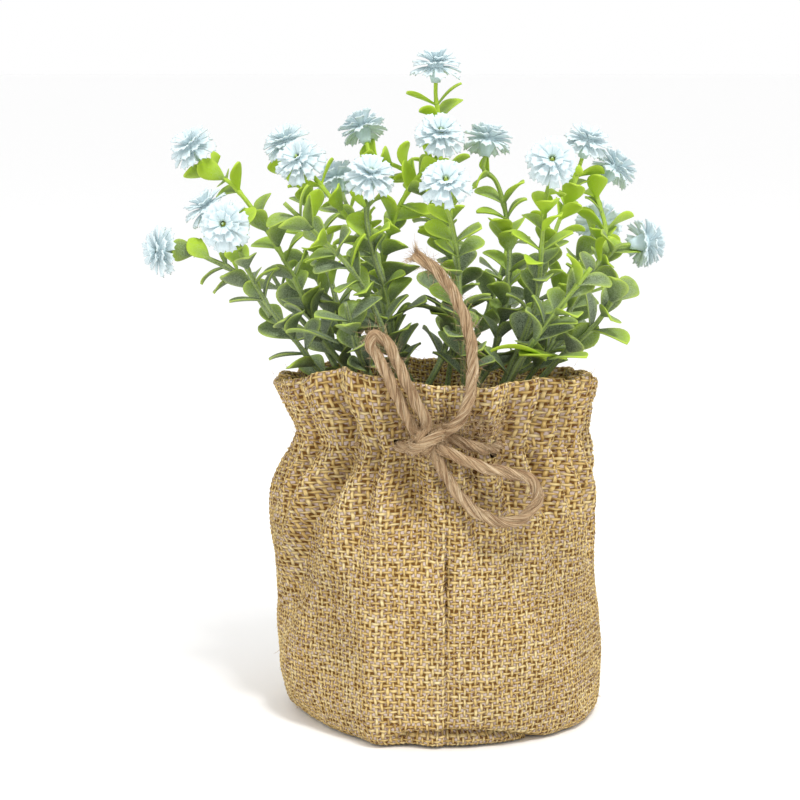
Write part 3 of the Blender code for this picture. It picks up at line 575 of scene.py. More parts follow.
def lay_twine(surface, line, phase):
    """Three plies twisted round a line. Their values are (mm along, mm round) for the fibres."""
    frames = framed(line)
    total = frames[-1][4]
    for ply in range(3):
        rings = []
        values = []
        for point, along, across, out, distance in frames:
            angle = phase + 2 * math.pi * (distance / PLY_PITCH + ply / 3)
            taper = min(1, (distance + 0.5) / 1.0, (total - distance + 0.5) / 1.0)
            slack = 1 + 0.05 * math.sin(distance * 0.9 + ply * 2)
            middle_of_ply = point + between(across, out, angle) * PLY_REACH * slack
            ring_points = []
            value = []
            for j in range(PLY_SIDES):
                turn = angle + 2 * math.pi * j / PLY_SIDES
                reach = PLY_RADIUS * taper * (1 + 0.05 * math.sin(3.1 * j + distance * 0.8))
                ring_points.append(middle_of_ply + between(across, out, turn) * reach)
                value.append((distance, 0.58 * min(j, PLY_SIDES - j) + 20 * ply + phase))
            rings.append(ring_points)
            values.append(value)
        surface.tube(rings, values)


def twine_piece(name, surface):
    """A piece of jute, whose map tells its material which way the fibres lie."""
    piece = new_piece(name, surface.points, surface.faces, jute, "bag")
    add_map(piece, "lay", surface.values)
    return piece


def hair(surface, chance, root, heading, away, length, curl):
    """One loose fibre, thinner to its tip, that leaves along heading and curls."""
    point = root.copy()
    rings = []
    values = []
    last = HAIR_STEPS - 1
    bend = Vector((chance.uniform(-1, 1), chance.uniform(-1, 1), chance.uniform(-1, 1))) * curl
    for i in range(HAIR_STEPS):
        side = heading.orthogonal().normalized()
        other = heading.cross(side)
        thick = HAIR_RADIUS * (1 - 0.7 * i / last)
        corners = (0, 2.1, 4.2)
        rings.append([point + side * thick * math.cos(t) + other * thick * math.sin(t) for t in corners])
        values.append((length * i, 7.0 + root.x))
        heading = (heading + away * 0.22 + bend * 0.35).normalized()
        point = point + heading * length / last
    surface.tube(rings, values)


def twine_hairs(surface, chance, line, count, longest):
    """Loose fibres all along a line of twine."""
    frames = framed(line)
    for _ in range(count):
        point, along, across, out, _distance = chance.choice(frames)
        away = between(across, out, chance.uniform(0, 2 * math.pi))
        heading = (along * chance.choice((-1, 1)) + away * chance.uniform(0.1, 0.9)).normalized()
        root = point + away * TWINE * 0.44
        hair(surface, chance, root, heading, away, chance.uniform(0.3, 1) * longest, 0.6)


eyelet_right = [by_neck(11, -3.6, 2.2), by_neck(20, 10.3, 1)]
eyelet_left = [by_neck(-16, 8.2, 1), by_neck(-9.6, -2.6, 2.6)]
round_the_neck = []
for i in range(RING_POINTS):
    turn = math.radians(RING_FROM + RING_ROUND * i / (RING_POINTS - 1))
    height = NECK_HEIGHT - 1.05 * math.sin(turn)
    round_the_neck.append(Vector((RING_RADIUS * math.cos(turn), RING_RADIUS * math.sin(turn), height)))
run_points = [
    by_neck(-2, -6, 5.2), by_neck(1.2, -4.8, 5.4), by_neck(5.5, -5.0, 4.4), *eyelet_right, *round_the_neck,
    *eyelet_left, by_neck(-8.4, -4.4, 3.6), by_neck(-5, -6, 4.6),
]
run_line = smooth_line(run_points, 8)
run = Surface()
lay_twine(run, run_line, 0.4)
drawstring = twine_piece("drawstring", run)
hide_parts("drawstring_run")

# The knot: two turns of twine pulled tight round the bow's crossing, and a third laid over them.
chance = random.Random(11)
knot = Surface()
knot_lines = []
for shift, radius, lean in ((-1.5, 2.5, 0.25), (1.3, 2.6, -0.1)):
    axis = Vector((0.86, -0.1, -0.5 + lean)).normalized()
    side = axis.orthogonal().normalized()
    other = axis.cross(side)
    middle_of_turn = by_neck(*KNOT) + axis * shift
    winding = []
    for i in range(KNOT_STEPS + 1):
        sideways = between(side, other, i / KNOT_STEPS * KNOT_WINDING) * radius
        winding.append(middle_of_turn + sideways + axis * (i / KNOT_STEPS - 0.5) * 0.8)
    knot_lines.append(winding)
over_knot = [(-8.6, -5.6, 3.0), (-7.2, -8.6, 3.4), (-4.4, -11.0, 5.0), (-1.4, -10.2, 6.8), (0.6, -7.6, 7.6)]
knot_lines.append(smooth_line([by_neck(*point) for point in over_knot], 5))
for number, line in enumerate(knot_lines):
    lay_twine(knot, line, 1.1 * number)
bow_knot = twine_piece("bow_knot", knot)
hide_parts("twine_knot")

# Free twine. Each route is in mm from the front of the neck. It starts and ends in the knot.
FREE_TWINE = {
    "twine_loop_upper": [
        (-8.4, -7.6, 9.4), (-10.5, -9.5, 14), (-13.6, -11, 21), (-17, -11.5, 28), (-19.6, -11.4, 32.6),
        (-18.6, -11, 35.4), (-15.4, -11, 33.4), (-12, -11.2, 27), (-8.6, -11.3, 19.5), (-5.6, -10.2, 13.6),
        (-4.2, -8.2, 10.4),
    ],
    "twine_loop_lower": [
        (-1.6, -8, 0.8), (1.5, -8.6, -5), (6, -8.8, -11.5), (12, -8.8, -16.2), (18.5, -8.4, -18),
        (24, -7.6, -16), (27, -7, -11), (25.5, -7.2, -6.4), (19.5, -8.2, -4), (12, -9.4, -2.2),
        (5.6, -9.8, 0.4), (1.2, -9.0, 2.4),
    ],
    "twine_tail": [
        (0.7, -7.4, 7.6), (3.4, -9.4, 9.6), (6.6, -11, 14.6), (8.2, -11.4, 22), (8.2, -11.4, 31),
        (6.4, -11.4, 39.5), (2.4, -11, 48), (-3, -10, 54.4), (-8, -9, 57.4),
    ],
}
for name, route in FREE_TWINE.items():
    is_tail = name == "twine_tail"
    points = [by_neck(*point) for point in route]
    points.insert(0, points[0] + (by_neck(*KNOT) - points[0]) * INTO_KNOT)
    if not is_tail:
        points.append(points[-1] + (by_neck(*KNOT) - points[-1]) * INTO_KNOT)
    line = smooth_line(points, 9)
    strand = Surface()
    lay_twine(strand, line, 0.7)
    cord = twine_piece(name.replace("twine", "jute"), strand)
    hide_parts(name)
    fuzz = Surface()
    twine_hairs(fuzz, chance, line, HAIRS_OF_PART, 5)
    if is_tail:
        point, along, across, out, _distance = framed(line)[-1]
        for _ in range(HAIRS_OF_TUFT):
            away = between(across, out, chance.uniform(0, 2 * math.pi))
            root = point - along * 1.5 + away * chance.uniform(0, 1.6)
            hair(fuzz, chance, root, (along + away * 0.35).normalized(), away, chance.uniform(2, 4.5), 0.3)
    loose = twine_piece(name.replace("twine", "hairs_of"), fuzz)
    length = sum((b - a).length for a, b in zip(line, line[1:]))
fuzz = Surface()
for line in knot_lines:
    twine_hairs(fuzz, chance, line, HAIRS_OF_TURN, 6)
twine_hairs(fuzz, chance, run_line[:26], 70, 5)
twine_hairs(fuzz, chance, run_line[-18:], 50, 5)
# Fluff that the twine has shed lies on the collar beside the knot.
for _ in range(HAIRS_SHED):
    root = by_neck(chance.uniform(0, 19), -3.5, chance.uniform(4, 11))
    heading = Vector((chance.uniform(-1, 1), -0.6, chance.uniform(-0.7, 0.9))).normalized()
    hair(fuzz, chance, root, heading, Vector((0, 0, 0)), chance.uniform(3, 9), 0.8)
twine_piece("hairs_of_knot", fuzz)

# ---- Stitches and stray fibres: two rows of cotton running stitch close the channel, and short
# fibres stand out of the burlap all over.

STITCH_STEP = 4.1  # degrees from one stitch to the next
STITCH_SHARE = 0.62  # of that step that the thread lies on the cloth
STITCH_RADIUS = 0.2
STRAY_FIBRES = 700

# Sewing cotton is matt, and its twist shows as light and dark flecks.
cotton, tree, shader = new_finish("cotton_sewing_thread", Roughness=0.8)
tree.links.new(mottled(tree, 2400.0, 2.0, "B99A5E", "EBD9A8")[0], shader.inputs["Base Color"])


def on_cloth(turn, height, lift):
    """A point in mm that stands off the outside of the bag."""
    reach = float(bag_reach(np.array(turn), np.array(height))) + lift
    return Vector((reach * math.cos(math.radians(turn)), reach * math.sin(math.radians(turn)), height))


stitches = Surface()
for row_height in STITCH_HEIGHTS:
    for i in range(int(360 / STITCH_STEP)):
        start = i * STITCH_STEP
        height = row_height + 0.5 * math.sin(start * 0.11)
        line = [
            on_cloth(start + STITCH_STEP * STITCH_SHARE * k / 5, height,
                     0.42 * math.sin(math.pi * k / 5) - 0.05)
            for k in range(6)
        ]
        rings = [
            [point + between(across, out, turn) * STITCH_RADIUS for turn in (0, 1.57, 3.14, 4.71)]
            for point, _along, across, out, _distance in framed(line)
        ]
        stitches.tube(rings, [0.0] * len(rings))
new_piece("channel_stitches", stitches.points, stitches.faces, cotton, "bag")

fluff = Surface()
for _ in range(STRAY_FIBRES):
    turn = chance.uniform(0, 360)
    height = chance.uniform(2, 104)
    root = on_cloth(turn, height, 0.1)
    outward = Vector((math.cos(math.radians(turn)), math.sin(math.radians(turn)), 0))
    along = Vector((-outward.y, outward.x, 0)) * chance.uniform(-1, 1) + Vector((0, 0, chance.uniform(-1, 1)))
    heading = (along.normalized() + outward * chance.uniform(0.1, 0.7)).normalized()
    hair(fluff, chance, root, heading, Vector((0, 0, 0)), chance.uniform(1.2, 3.4), 0.5)
twine_piece("hairs_of_burlap", fluff)

# ---- Sprigs: square stems with a pair of cupped leaves every centimetre, each pair at right angles
# to the last. They are moulded in one piece from polyethylene, sprayed lime at the tips and
# grey-green below, and flocked so that the lower leaves look frosted.

MOUTH_HEIGHT = 104.5
CROWN_TOP = 61.0
SOCKET_RING = 7.2
SOCKET_BOTTOM = 5.7  # mm below the crown's top, where a branch's foot stands
STEM_REACH = 1.2  # mm to the corners of the stem at its foot
STEM_TIP_REACH = 0.75
STEM_SIDES = 12
PAIR_STEP = 10.5
FIRST_PAIR = 6.0
FLOWER_SOCKET = 2.4
LEAF_LENGTH = 12.0
LEAF_WIDTH = 7.4
LEAF_THICKNESS = 0.8
LEAF_BODY = 0.34  # from the middle of the leaf's thickness to each face
VEIN_DEPTH = 0.12
LEAF_ANGLE = 50
LEAF_BEND = 22
LEAF_SECTIONS = [(0.34, 0.72), (0.72, 1.0), (1.0, 0.42)]
LEAF_TRIES = ((0, 1), (-18, 1), (16, 1), (-32, 0.9), (0, 0.75), (-20, 0.7), (20, 0.7))  # lean, share
CORNER_PLAY = 0.04  # mm that a corner of the CAD's leaf may be from where it is looked for
SHOOT_LOW = 13  # mm above the mouth, up to where a shoot's leaves stand up by SHOOT_LIFT degrees
SHOOT_LIFT = 14
SHOOT_BARE = 12  # mm above the mouth, up to where a shoot has no small leaves

SOCKET_BEARINGS = {
    "left_front": 207, "left": 165, "front_left": 245, "front": 283, "right_front": 323, "right": 3,
    "right_back": 43, "back": 105,
}

# Name, branch, whether it stands in the crown, route in mm from the middle of the mouth, the way its
# flower faces, turn of its first pair, and size of its leaves.
SPRIGS = [
    ("left_front", "left_front", True,
     [(-14, -7, -28), (-31, -14, -5), (-43, -20, 12), (-50, -24, 22), (-56, -27, 34), (-60, -34, 45)],
     (-0.15, -0.95, 0.2), 20, 1.0),
    ("left_front_side", "left_front", False,
     [(-49, -20.5, 18), (-55, -17, 26), (-61, -14, 31), (-68, -11, 34), (-77, -9, 36)],
     (-0.9, -0.35, 0), 65, 0.9),
    ("left_front_twig", "left_front", False,
     [(-60.6, -10.6, 33.4), (-63, -8, 38), (-66, -6, 44)],
     (-0.5, -0.1, 0.85), 0, 0.8),
    ("left", "left", True,
     [(-13, 3, -26), (-27, 4, -2), (-35, 4, 8), (-42, 5, 23), (-50, 7, 38), (-62, 11, 54), (-72, 14, 62)],
     (-0.5, -0.4, 0.75), 40, 1.0),
    ("left_side", "left", False,
     [(-24, 7.4, -8), (-28, 11, 4), (-31, 13, 18), (-35, 16, 33), (-41, 19, 50), (-45, 22, 62)],
     (-0.3, -0.3, 0.9), 10, 1.0),
    ("front_left", "front_left", True,
     [(-6, -8, -26), (-13, -14, 4), (-15, -17, 20), (-19, -19, 36), (-28, -20, 48), (-38, -18, 60)],
     (-0.45, -0.6, 0.6), 30, 1.0),
    ("front_left_side", "front_left", False,
     [(-13, -18.5, 2), (-17, -25, 16), (-25, -31, 32), (-33, -35, 41), (-44, -38, 52)], None, 15, 1.0),
    ("front_left_twig", "front_left", False,
     [(-16.5, -21.5, 28), (-19, -26, 36), (-21, -28, 46), (-20.6, -26.6, 55)],
     (0.1, -0.55, 0.8), 50, 0.9),
    ("centre", "centre", True,
     [(0, 0, -26), (3, -4, -2), (5, -4, 14), (4, -2, 34), (1, 0, 54), (0, 2, 74), (-1, 2, 85)],
     (0, -0.1, 1), 0, 1.0),
    ("centre_left", "centre", False,
     [(-1.5, -5, -12), (-9, -6, -2), (-15, -6, 12), (-17, -6, 27), (-14, -8, 44), (-7, -12, 57),
      (-0.6, -14.3, 66.4)],
     (0.1, -0.6, 0.75), 25, 1.0),
    ("centre_right", "centre", False,
     [(5.4, -1, -12), (13, 2, -4), (18, 4, 8), (21, 6, 24), (21, 8, 42), (17, 7, 56), (14, 6, 63)],
     (0.15, 0.25, 0.95), 45, 1.0),
    ("front", "front", True,
     [(3, -10, -26), (7, -19, -4), (6, -24, 14), (5, -30, 34), (3, -35, 46), (1, -40, 55)],
     (0, -0.75, 0.6), 70, 1.0),
    ("right_front", "right_front", True,
     [(11, -7, -26), (19, -12, -4), (24, -17, 10), (28, -24, 25), (29, -29, 42), (30, -30, 54),
      (31.6, -32.4, 62)],
     (-0.1, -0.9, 0.35), 10, 1.0),
    ("right", "right", True,
     [(15, -3, -26), (27, -7, -2), (34, -9, 9), (40, -9, 21), (48, -9, 32), (56, -10, 38)],
     (0.85, 0.3, 0.1), 35, 1.0),
    ("right_back", "right_back", True,
     [(10, 6, -26), (20, 3, -4), (26, 4, 10), (31, 9, 24), (36, 16, 40), (42, 21, 54), (44.5, 23, 62)],
     (0.25, -0.2, 0.9), 0, 1.0),
    ("right_back_side", "right_back", False,
     [(24.5, 4.4, -2), (33, 8, 2), (41, 12, 11), (48, 18, 25), (52, 24, 40), (52, 28.7, 54.5)],
     (0.6, 0.2, 0.7), 60, 1.0),
    ("right_back_twig", "right_back", False,
     [(16.5, 8.5, -12), (22, 13, -4), (31, 20, 6), (40, 31, 22), (46, 38, 32), (51.7, 46.4, 38.7)],
     (0.2, 0.9, 0.2), 20, 1.0),
    ("back", "back", True,
     [(-3, 11, -26), (-11, 17, -2), (-18, 27, 18), (-22, 35, 32), (-26, 40, 42), (-30, 43, 50)],
     (-0.3, 0.5, 0.8), 15, 1.0),
    ("back_side", "back", False,
     [(-4, 17.5, -10), (2, 19, 2), (5, 22, 20), (2, 28, 40), (-8, 34, 56), (-22, 36, 66)],
     (-0.3, 0.4, 0.85), 50, 1.0),
    ("shoot_left", "left", False,
     [(-31, 7.6, -1), (-36, 14, 6), (-44, 22, 14), (-52, 28, 26)], None, 0, 1.1),
    ("shoot_front_left", "front_left", False,
     [(-13.5, -13, -10), (-20, -22, 0), (-24, -31, 10), (-27, -38, 24)], None, 30, 1.15),
    ("shoot_front_right", "right_front", False,
     [(18.5, -15.8, -9), (20, -26, -1), (25, -33, 10), (33, -38, 22), (42, -40, 34)], None, 10, 1.1),
    ("shoot_right", "right", False,
     [(30, -11.5, -2), (36, -17, 6), (45, -24, 16), (52, -28, 28)], None, 55, 1.15),
    ("shoot_back_left", "back", False,
     [(-15, 19, -3), (-24, 25, 4), (-34, 33, 16), (-42, 40, 32)], None, 25, 1.1),
    ("shoot_back_right", "back", False,
     [(5, 22.5, -1), (12, 28, 6), (19, 37, 20), (24, 46, 38)], None, 40, 1.1),
]

# Sprayed polyethylene is satin where it is lime and matt where the pale flock lies on it.
leaf_plastic, tree, shader = new_finish(
    "flocked_green_polyethylene", Roughness=0.62, IOR=1.51, Specular_IOR_Level=0.3
)
tone = add_node(tree, "Attribute", {}, attribute_name="tone").outputs["Fac"]
# rim: how much of the painted highlight each point takes, along leaf rims and tips and on the stem's ridged
# corners.
rim = add_node(tree, "Attribute", {}, attribute_name="rim").outputs["Fac"]
place = add_node(tree, "TexCoord", {}).outputs["Object"]
speckle = add_node(tree, "TexNoise", {"Vector": place, "Scale": 2600.0, "Detail": 4.0, "Roughness": 0.7})
cloud = add_node(tree, "TexNoise", {"Vector": place, "Scale": 260.0, "Detail": 2.0})
cloudy_tone = add_node(tree, "Math", {0: cloud, 1: 0.5, 2: -0.25}, operation="MULTIPLY_ADD")
cloudy_tone = add_node(tree, "Math", {0: cloudy_tone, 1: tone}, operation="ADD")
cloudy_tone = add_node(tree, "Math", {0: speckle, 1: 0.22, 2: cloudy_tone}, operation="MULTIPLY_ADD")
green = add_node(tree, "ValToRGB", {0: cloudy_tone})
set_stops(green, (0.05, "3A4630"), (0.35, "50603A"), (0.6, "728A30"), (0.85, "94B31E"), (1.0, "A8C81C"))
frost = add_node(tree, "MapRange", {0: speckle, 1: 0.36, 2: 0.62})
frost_share = add_node(tree, "MapRange", {0: tone, 1: 0.1, 2: 1.0, 3: 0.72, 4: 0.14})
frost = add_node(tree, "Math", {0: frost, 1: frost_share}, operation="MULTIPLY")
frosted = add_node(tree, "Mix", {0: frost, 6: green, 7: linear("A3B294")}, data_type="RGBA")
# Painted highlight: leaf rims and tips and the stem's ridged corners are painted pale lime, as where the
# raised rim catches the light.
painted_rim_highlight = add_node(tree, "Math", {0: rim, 1: 0.55}, operation="MULTIPLY")
with_rim_highlight = add_node(
    tree, "Mix", {0: painted_rim_highlight, 6: frosted.outputs[2], 7: linear("BFD64E")}, data_type="RGBA"
)
link_looks(tree, shader, with_rim_highlight.outputs[2], speckle, 0.5, 0.12)


def from_mouth(x, y, z):
    """A point in mm from the middle of the bag's mouth."""
    return Vector((x, y, MOUTH_HEIGHT + z))


def sprig_line(branch, in_crown, route, facing):
    """A sprig's centre line, out of the crown's socket and on into its flower."""
    points = [from_mouth(*point) for point in route]
    if in_crown:
        bearing = math.radians(SOCKET_BEARINGS.get(branch, 0))
        ring = SOCKET_RING if branch in SOCKET_BEARINGS else 0
        foot = Vector((ring * math.cos(bearing), ring * math.sin(bearing), CROWN_TOP))
        points = [foot - Vector((0, 0, SOCKET_BOTTOM)), foot + Vector((0, 0, 3)), *points]
    if facing is not None:
        ahead = Vector(facing).normalized()
        tip = points.pop()
        points += [tip - ahead * 4, tip, tip + ahead * (FLOWER_SOCKET - 0.3)]
    return smooth_line(points, 8)


class Stem:
    """Places along a sprig's centre line, and frames that turn as little as they can."""

    def __init__(self, line, turn, flowering):
        self.line = line
        self.reached = [0.0]
        for a, b in zip(line, line[1:]):
            self.reached.append(self.reached[-1] + (b - a).length)
        self.length = self.reached[-1]
        across = Matrix.Rotation(math.radians(turn), 3, "Z") @ Vector((1, 0, 0))
        places = [(0, None), (self.length, None)]
        pair = 0
        distance = self.length - FIRST_PAIR - (FLOWER_SOCKET if flowering else 0)
        while distance > PAIR_STEP / 2 and self.place(distance).z > MOUTH_HEIGHT - 3:
            places += [(distance - LEAF_THICKNESS / 2, pair), (distance + LEAF_THICKNESS / 2, None)]
            if distance > PAIR_STEP:
                places.append((distance - PAIR_STEP / 2, None))
            pair += 1
            distance -= PAIR_STEP
        while distance > PAIR_STEP / 2:
            places.append((distance, None))
            distance -= 0.7 * PAIR_STEP
        self.stations = []
        for distance, opens_pair in sorted(places, key=lambda item: item[0]):
            ahead = self.place(min(distance + 1, self.length))
            behind = self.place(max(distance - 1, 0))
            along = (ahead - behind).normalized()
            across = (across - along * across.dot(along)).normalized()
            self.stations.append((distance, self.place(distance), along, across, opens_pair))

    def place(self, distance):
        """The point at this distance along the centre line."""
        for i in range(len(self.line) - 1):
            if distance <= self.reached[i + 1] or i == len(self.line) - 2:
                share = (distance - self.reached[i]) / (self.reached[i + 1] - self.reached[i])
                return self.line[i].lerp(self.line[i + 1], share)

    def across_at(self, distance, along):
        """The stations' own frame, carried smoothly between them."""
        for low, high in zip(self.stations, self.stations[1:]):
            if distance <= high[0]:
                share = (distance - low[0]) / max(high[0] - low[0], 1e-6)
                mixed = low[3].lerp(high[3], min(max(share, 0), 1))
                return (mixed - along * mixed.dot(along)).normalized()
        return self.stations[-1][3]


def leaf_line(place, along, outward, length, lean):
    """The middle of the leaf's sections as the CAD has it: (place, heading) for each."""
    found = []
    reached = place.copy()
    last = 0
    for share, _wide in LEAF_SECTIONS:
        angle = math.radians(LEAF_ANGLE + lean + LEAF_BEND * share)
        heading = between(along, outward, angle)
        reached = reached + heading * length * (share - last)
        last = share
        found.append((reached, heading))
    return found


def chosen_leaf(corners, share_up, place, along, outward, size):
    """The way that the CAD holds this leaf, as (length, width, lean), or None where it has none."""
    full = LEAF_LENGTH * size * (1.08 - 0.3 * share_up)
    width = full * LEAF_WIDTH / LEAF_LENGTH
    side = along.cross(outward)
    for lean, share in LEAF_TRIES:
        tip, heading = leaf_line(place, along, outward, full * share, lean)[-1]
        normal = heading.cross(side)
        half = width * share * LEAF_SECTIONS[-1][1] / 2
        tips = [tip + side * half * a + normal * LEAF_THICKNESS / 2 * b for a in (-1, 1) for b in (-1, 1)]
        if all(corners.find(corner * MM)[2] < CORNER_PLAY * MM for corner in tips):
            return full * share, width * share, lean
    return None


# Shares of a leaf's length and half-width at which its surface has points.
LEAF_ROWS = [0.0, 0.1, 0.2, 0.32, 0.44, 0.55, 0.66, 0.76, 0.85, 0.92, 0.97, 1.0]
LEAF_COLUMNS = [-1, -0.82, -0.45, 0, 0.45, 0.82, 1]


def skin_layers(surface, start, rows, columns, turned):
    """Faces of a thin sheet: two layers of points, and its rim. A turned one has its far side first."""
    below = rows * columns
    for i in range(rows - 1):
        for j in range(columns - 1):
            a = start + i * columns + j
            for corner, across_first in ((a, not turned), (a + below, turned)):
                one, other = (1, columns) if across_first else (columns, 1)
                surface.faces.append((corner, corner + one, corner + columns + 1, corner + other))
    border = [(0, j) for j in range(columns)] + [(i, columns - 1) for i in range(1, rows)]
    border += [(rows - 1, j) for j in range(columns - 2, -1, -1)] + [(i, 0) for i in range(rows - 2, 0, -1)]
    for (i, j), (k, m) in zip(border, border[1:] + border[:1]):
        a = start + i * columns + j
        b = start + k * columns + m
        if not turned:
            a, b = b, a
        surface.faces.append((a, b, b + below, a + below))


def add_leaf(surface, chance, place, along, outward, length, width, lean, tone_of_leaf):
    """A cupped leaf with a rounded rim and a shallow middle vein, narrow at the stem."""
    side = along.cross(outward)
    bend = LEAF_BEND + chance.uniform(-14, 34)
    start_angle = LEAF_ANGLE + lean - (bend - LEAF_BEND) * 0.4
    twist = chance.uniform(-0.5, 0.5)
    cup = chance.uniform(0.12, 0.3)
    plump = chance.uniform(1.0, 1.22)
    start = len(surface.points)
    for layer in (1, -1):
        reached = place.copy()
        last = 0
        for row in LEAF_ROWS:
            angle = math.radians(start_angle + bend * row * row)
            heading = between(along, outward, angle)
            reached = reached + heading * length * 1.03 * (row - last)
            last = row
            tilted = between(side, heading.cross(side), twist * row)
            normal = heading.cross(tilted)
            half = width * plump / 2 * max(math.sin(math.pi * min(row, 0.999) ** 1.55) ** 0.62, 0.0)
            half = max(half, 0.62 * (1 - row) + 0.12)
            for column in LEAF_COLUMNS:
                rise = cup * half * column * column - VEIN_DEPTH * math.exp(-((column / 0.2) ** 2)) * layer
                thick = LEAF_BODY * math.sqrt(max(1 - column * column, 0.0)) + 0.03
                rim_rise = 0.12 * math.exp(-(((abs(column) - 0.82) / 0.12) ** 2)) * row
                point = reached + tilted * half * column + normal * (rise + rim_rise + layer * thick)
                surface.points.append(point)
                # Painted highlight along the rim and at the tip.
                rim_highlight_share = max(abs(column) ** 6, max(0.0, (row - 0.9) * 9)) * min(1.0, row * 2)
                here = tone_of_leaf + 0.42 * (row - 0.55) + 0.1 * column * column
                surface.values.append((here + (0.1 if layer < 0 else 0), rim_highlight_share))
    skin_layers(surface, start, len(LEAF_ROWS), len(LEAF_COLUMNS), False)


def add_stem(surface, stem, tone_at):
    """A square stem with ridged corners, and a collar where each pair of leaves leaves it."""
    pairs = [station[0] for station in stem.stations if station[4] is not None]
    steps = max(6, round(stem.length / 1.3))
    rings = []
    values = []
    for i in range(steps + 1):
        distance = stem.length * i / steps
        place = stem.place(distance)
        ahead = stem.place(min(distance + 1, stem.length))
        along = (ahead - stem.place(max(distance - 1, 0))).normalized()
        across = stem.across_at(distance, along)
        out = along.cross(across)
        share = min(distance / (stem.length - FIRST_PAIR), 1)
        reach = (STEM_REACH + (STEM_TIP_REACH - STEM_REACH) * share) * 0.94
        collar = sum(math.exp(-(((distance - pair - 0.4) / 1.0) ** 2)) for pair in pairs)
        reach *= 1 + 0.38 * min(collar, 1)
        ring_points = []
        for j in range(STEM_SIDES):
            turn = 2 * math.pi * j / STEM_SIDES
            ridge = 0.86 + 0.14 * math.cos(4 * (turn - math.pi / 4))
            ring_points.append(place + between(across, out, turn) * reach * ridge)
        rings.append(ring_points)
        # The stem's ridged corners get half of the painted rim highlight, and the middles of its faces get
        # none.
        values.append([(tone_at(place), 0.5 if j % 3 != 0 else 0.0) for j in range(STEM_SIDES)])
    surface.tube(rings, values)


def foliage_tone(place):
    """From 0, frosted grey-green low in the middle, to 1, lime at the tips and on the right."""
    return min(1.0, max(0.05, (place.z - 104) / 62 + max(0, place.x) / 220))


# Large single leaves low in front: sprig, foot in mm, bearing, length, width, lean and tone.
LOW_LEAVES = [
    ("shoot_front_left", (-29, -32, 116), 165, 16, 7.5, 22, 0.25),
    ("shoot_front_right", (30, -35, 112.5), 198, 17, 7.5, 24, 0.95),
    ("shoot_front_right", (36, -31, 111.5), 205, 15, 8, 24, 0.85),
    ("shoot_front_right", (31, -35, 112.0), 318, 13, 8, 24, 0.55),
    ("centre", (4.5, -4, 117), 200, 15, 11, 4, 0.0),
    ("centre", (4.5, -4, 124), 160, 14, 10, -6, 0.15),
    ("centre", (4.8, -4, 121), 330, 13, 9, 8, 0.05),
    ("centre_left", (-14.5, -6, 119), 330, 14, 10, 2, 0.0),
    ("centre_left", (-15.5, -6, 129), 300, 15, 12, 0, 0.2),
]

for name, branch, in_crown, route, facing, turn, size in SPRIGS:
    chance = random.Random(name)
    is_shoot = name.startswith("shoot")
    stem = Stem(sprig_line(branch, in_crown, route, facing), turn, facing is not None)
    cad_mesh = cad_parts["sprig_" + name].data
    corners = KDTree(len(cad_mesh.vertices))
    for vert in cad_mesh.vertices:
        corners.insert(vert.co, vert.index)
    corners.balance()
    surface = Surface()
    stem_tone = chance.uniform(-0.6, 0.05)
    add_stem(surface, stem, lambda place: foliage_tone(place) + stem_tone)
    for distance, place, along, across, opens_pair in stem.stations:
        if opens_pair is None:
            continue
        axis = across if opens_pair % 2 == 0 else along.cross(across)
        for outward in (axis, -axis):
            found = chosen_leaf(corners, distance / stem.length, place, along, outward, size)
            if found is not None:
                length, width, lean = found
                # A shoot's low leaves stand up a little, clear of the rim when their branch bends.
                if is_shoot and place.z < MOUTH_HEIGHT + SHOOT_LOW:
                    lean -= SHOOT_LIFT
                leaf_tone = foliage_tone(place + outward * 6) + chance.uniform(-0.45, 0.18)
                add_leaf(surface, chance, place, along, outward, length, width, lean, leaf_tone)
        # Smaller leaves grow between the pairs, out of the same stem.
        foot = stem.place(distance - PAIR_STEP * 0.45)
        if foot.z < MOUTH_HEIGHT + (SHOOT_BARE if is_shoot else -1):
            continue
        turn_by = chance.uniform(30, 60)
        for side_sign in (1, -1):
            if chance.random() < 0.3:
                continue
            outward = Matrix.Rotation(math.radians(turn_by), 3, along) @ axis * side_sign
            low_down = max(0.0, 1 - (foot.z - MOUTH_HEIGHT) / 25)
            length = LEAF_LENGTH * size * (chance.uniform(0.62, 0.88) + 0.2 * low_down)
            leaf_tone = foliage_tone(place) + chance.uniform(-0.45, 0.18)
            add_leaf(surface, chance, foot, along, outward, length,
                     length * chance.uniform(0.6, 0.72), chance.uniform(-24, 16), leaf_tone)
    for leaf_sprig, foot, bearing, length, width, lean, leaf_tone in LOW_LEAVES:
        if leaf_sprig == name:
            bearing = math.radians(bearing)
            outward = Vector((math.cos(bearing), math.sin(bearing), 0))
            add_leaf(surface, chance, Vector(foot), Vector((0, 0, 1)), outward, length, width, lean,
                     leaf_tone)
    sprig = new_piece("leaves_of_" + name, surface.points, surface.faces, leaf_plastic,
                      "branch_" + branch)
    tones, rim_highlight_shares = zip(*surface.values)
    add_values(sprig, "tone", tones)
    add_values(sprig, "rim", rim_highlight_shares)
    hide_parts("sprig_" + name)

# ---- Flowers: heads of four whorls of lobed strap petals on a ribbed cone, moulded in pale blue
# polyethylene, with a dark eye and a yellow-green pin. Each is pushed on to the end of its stem.

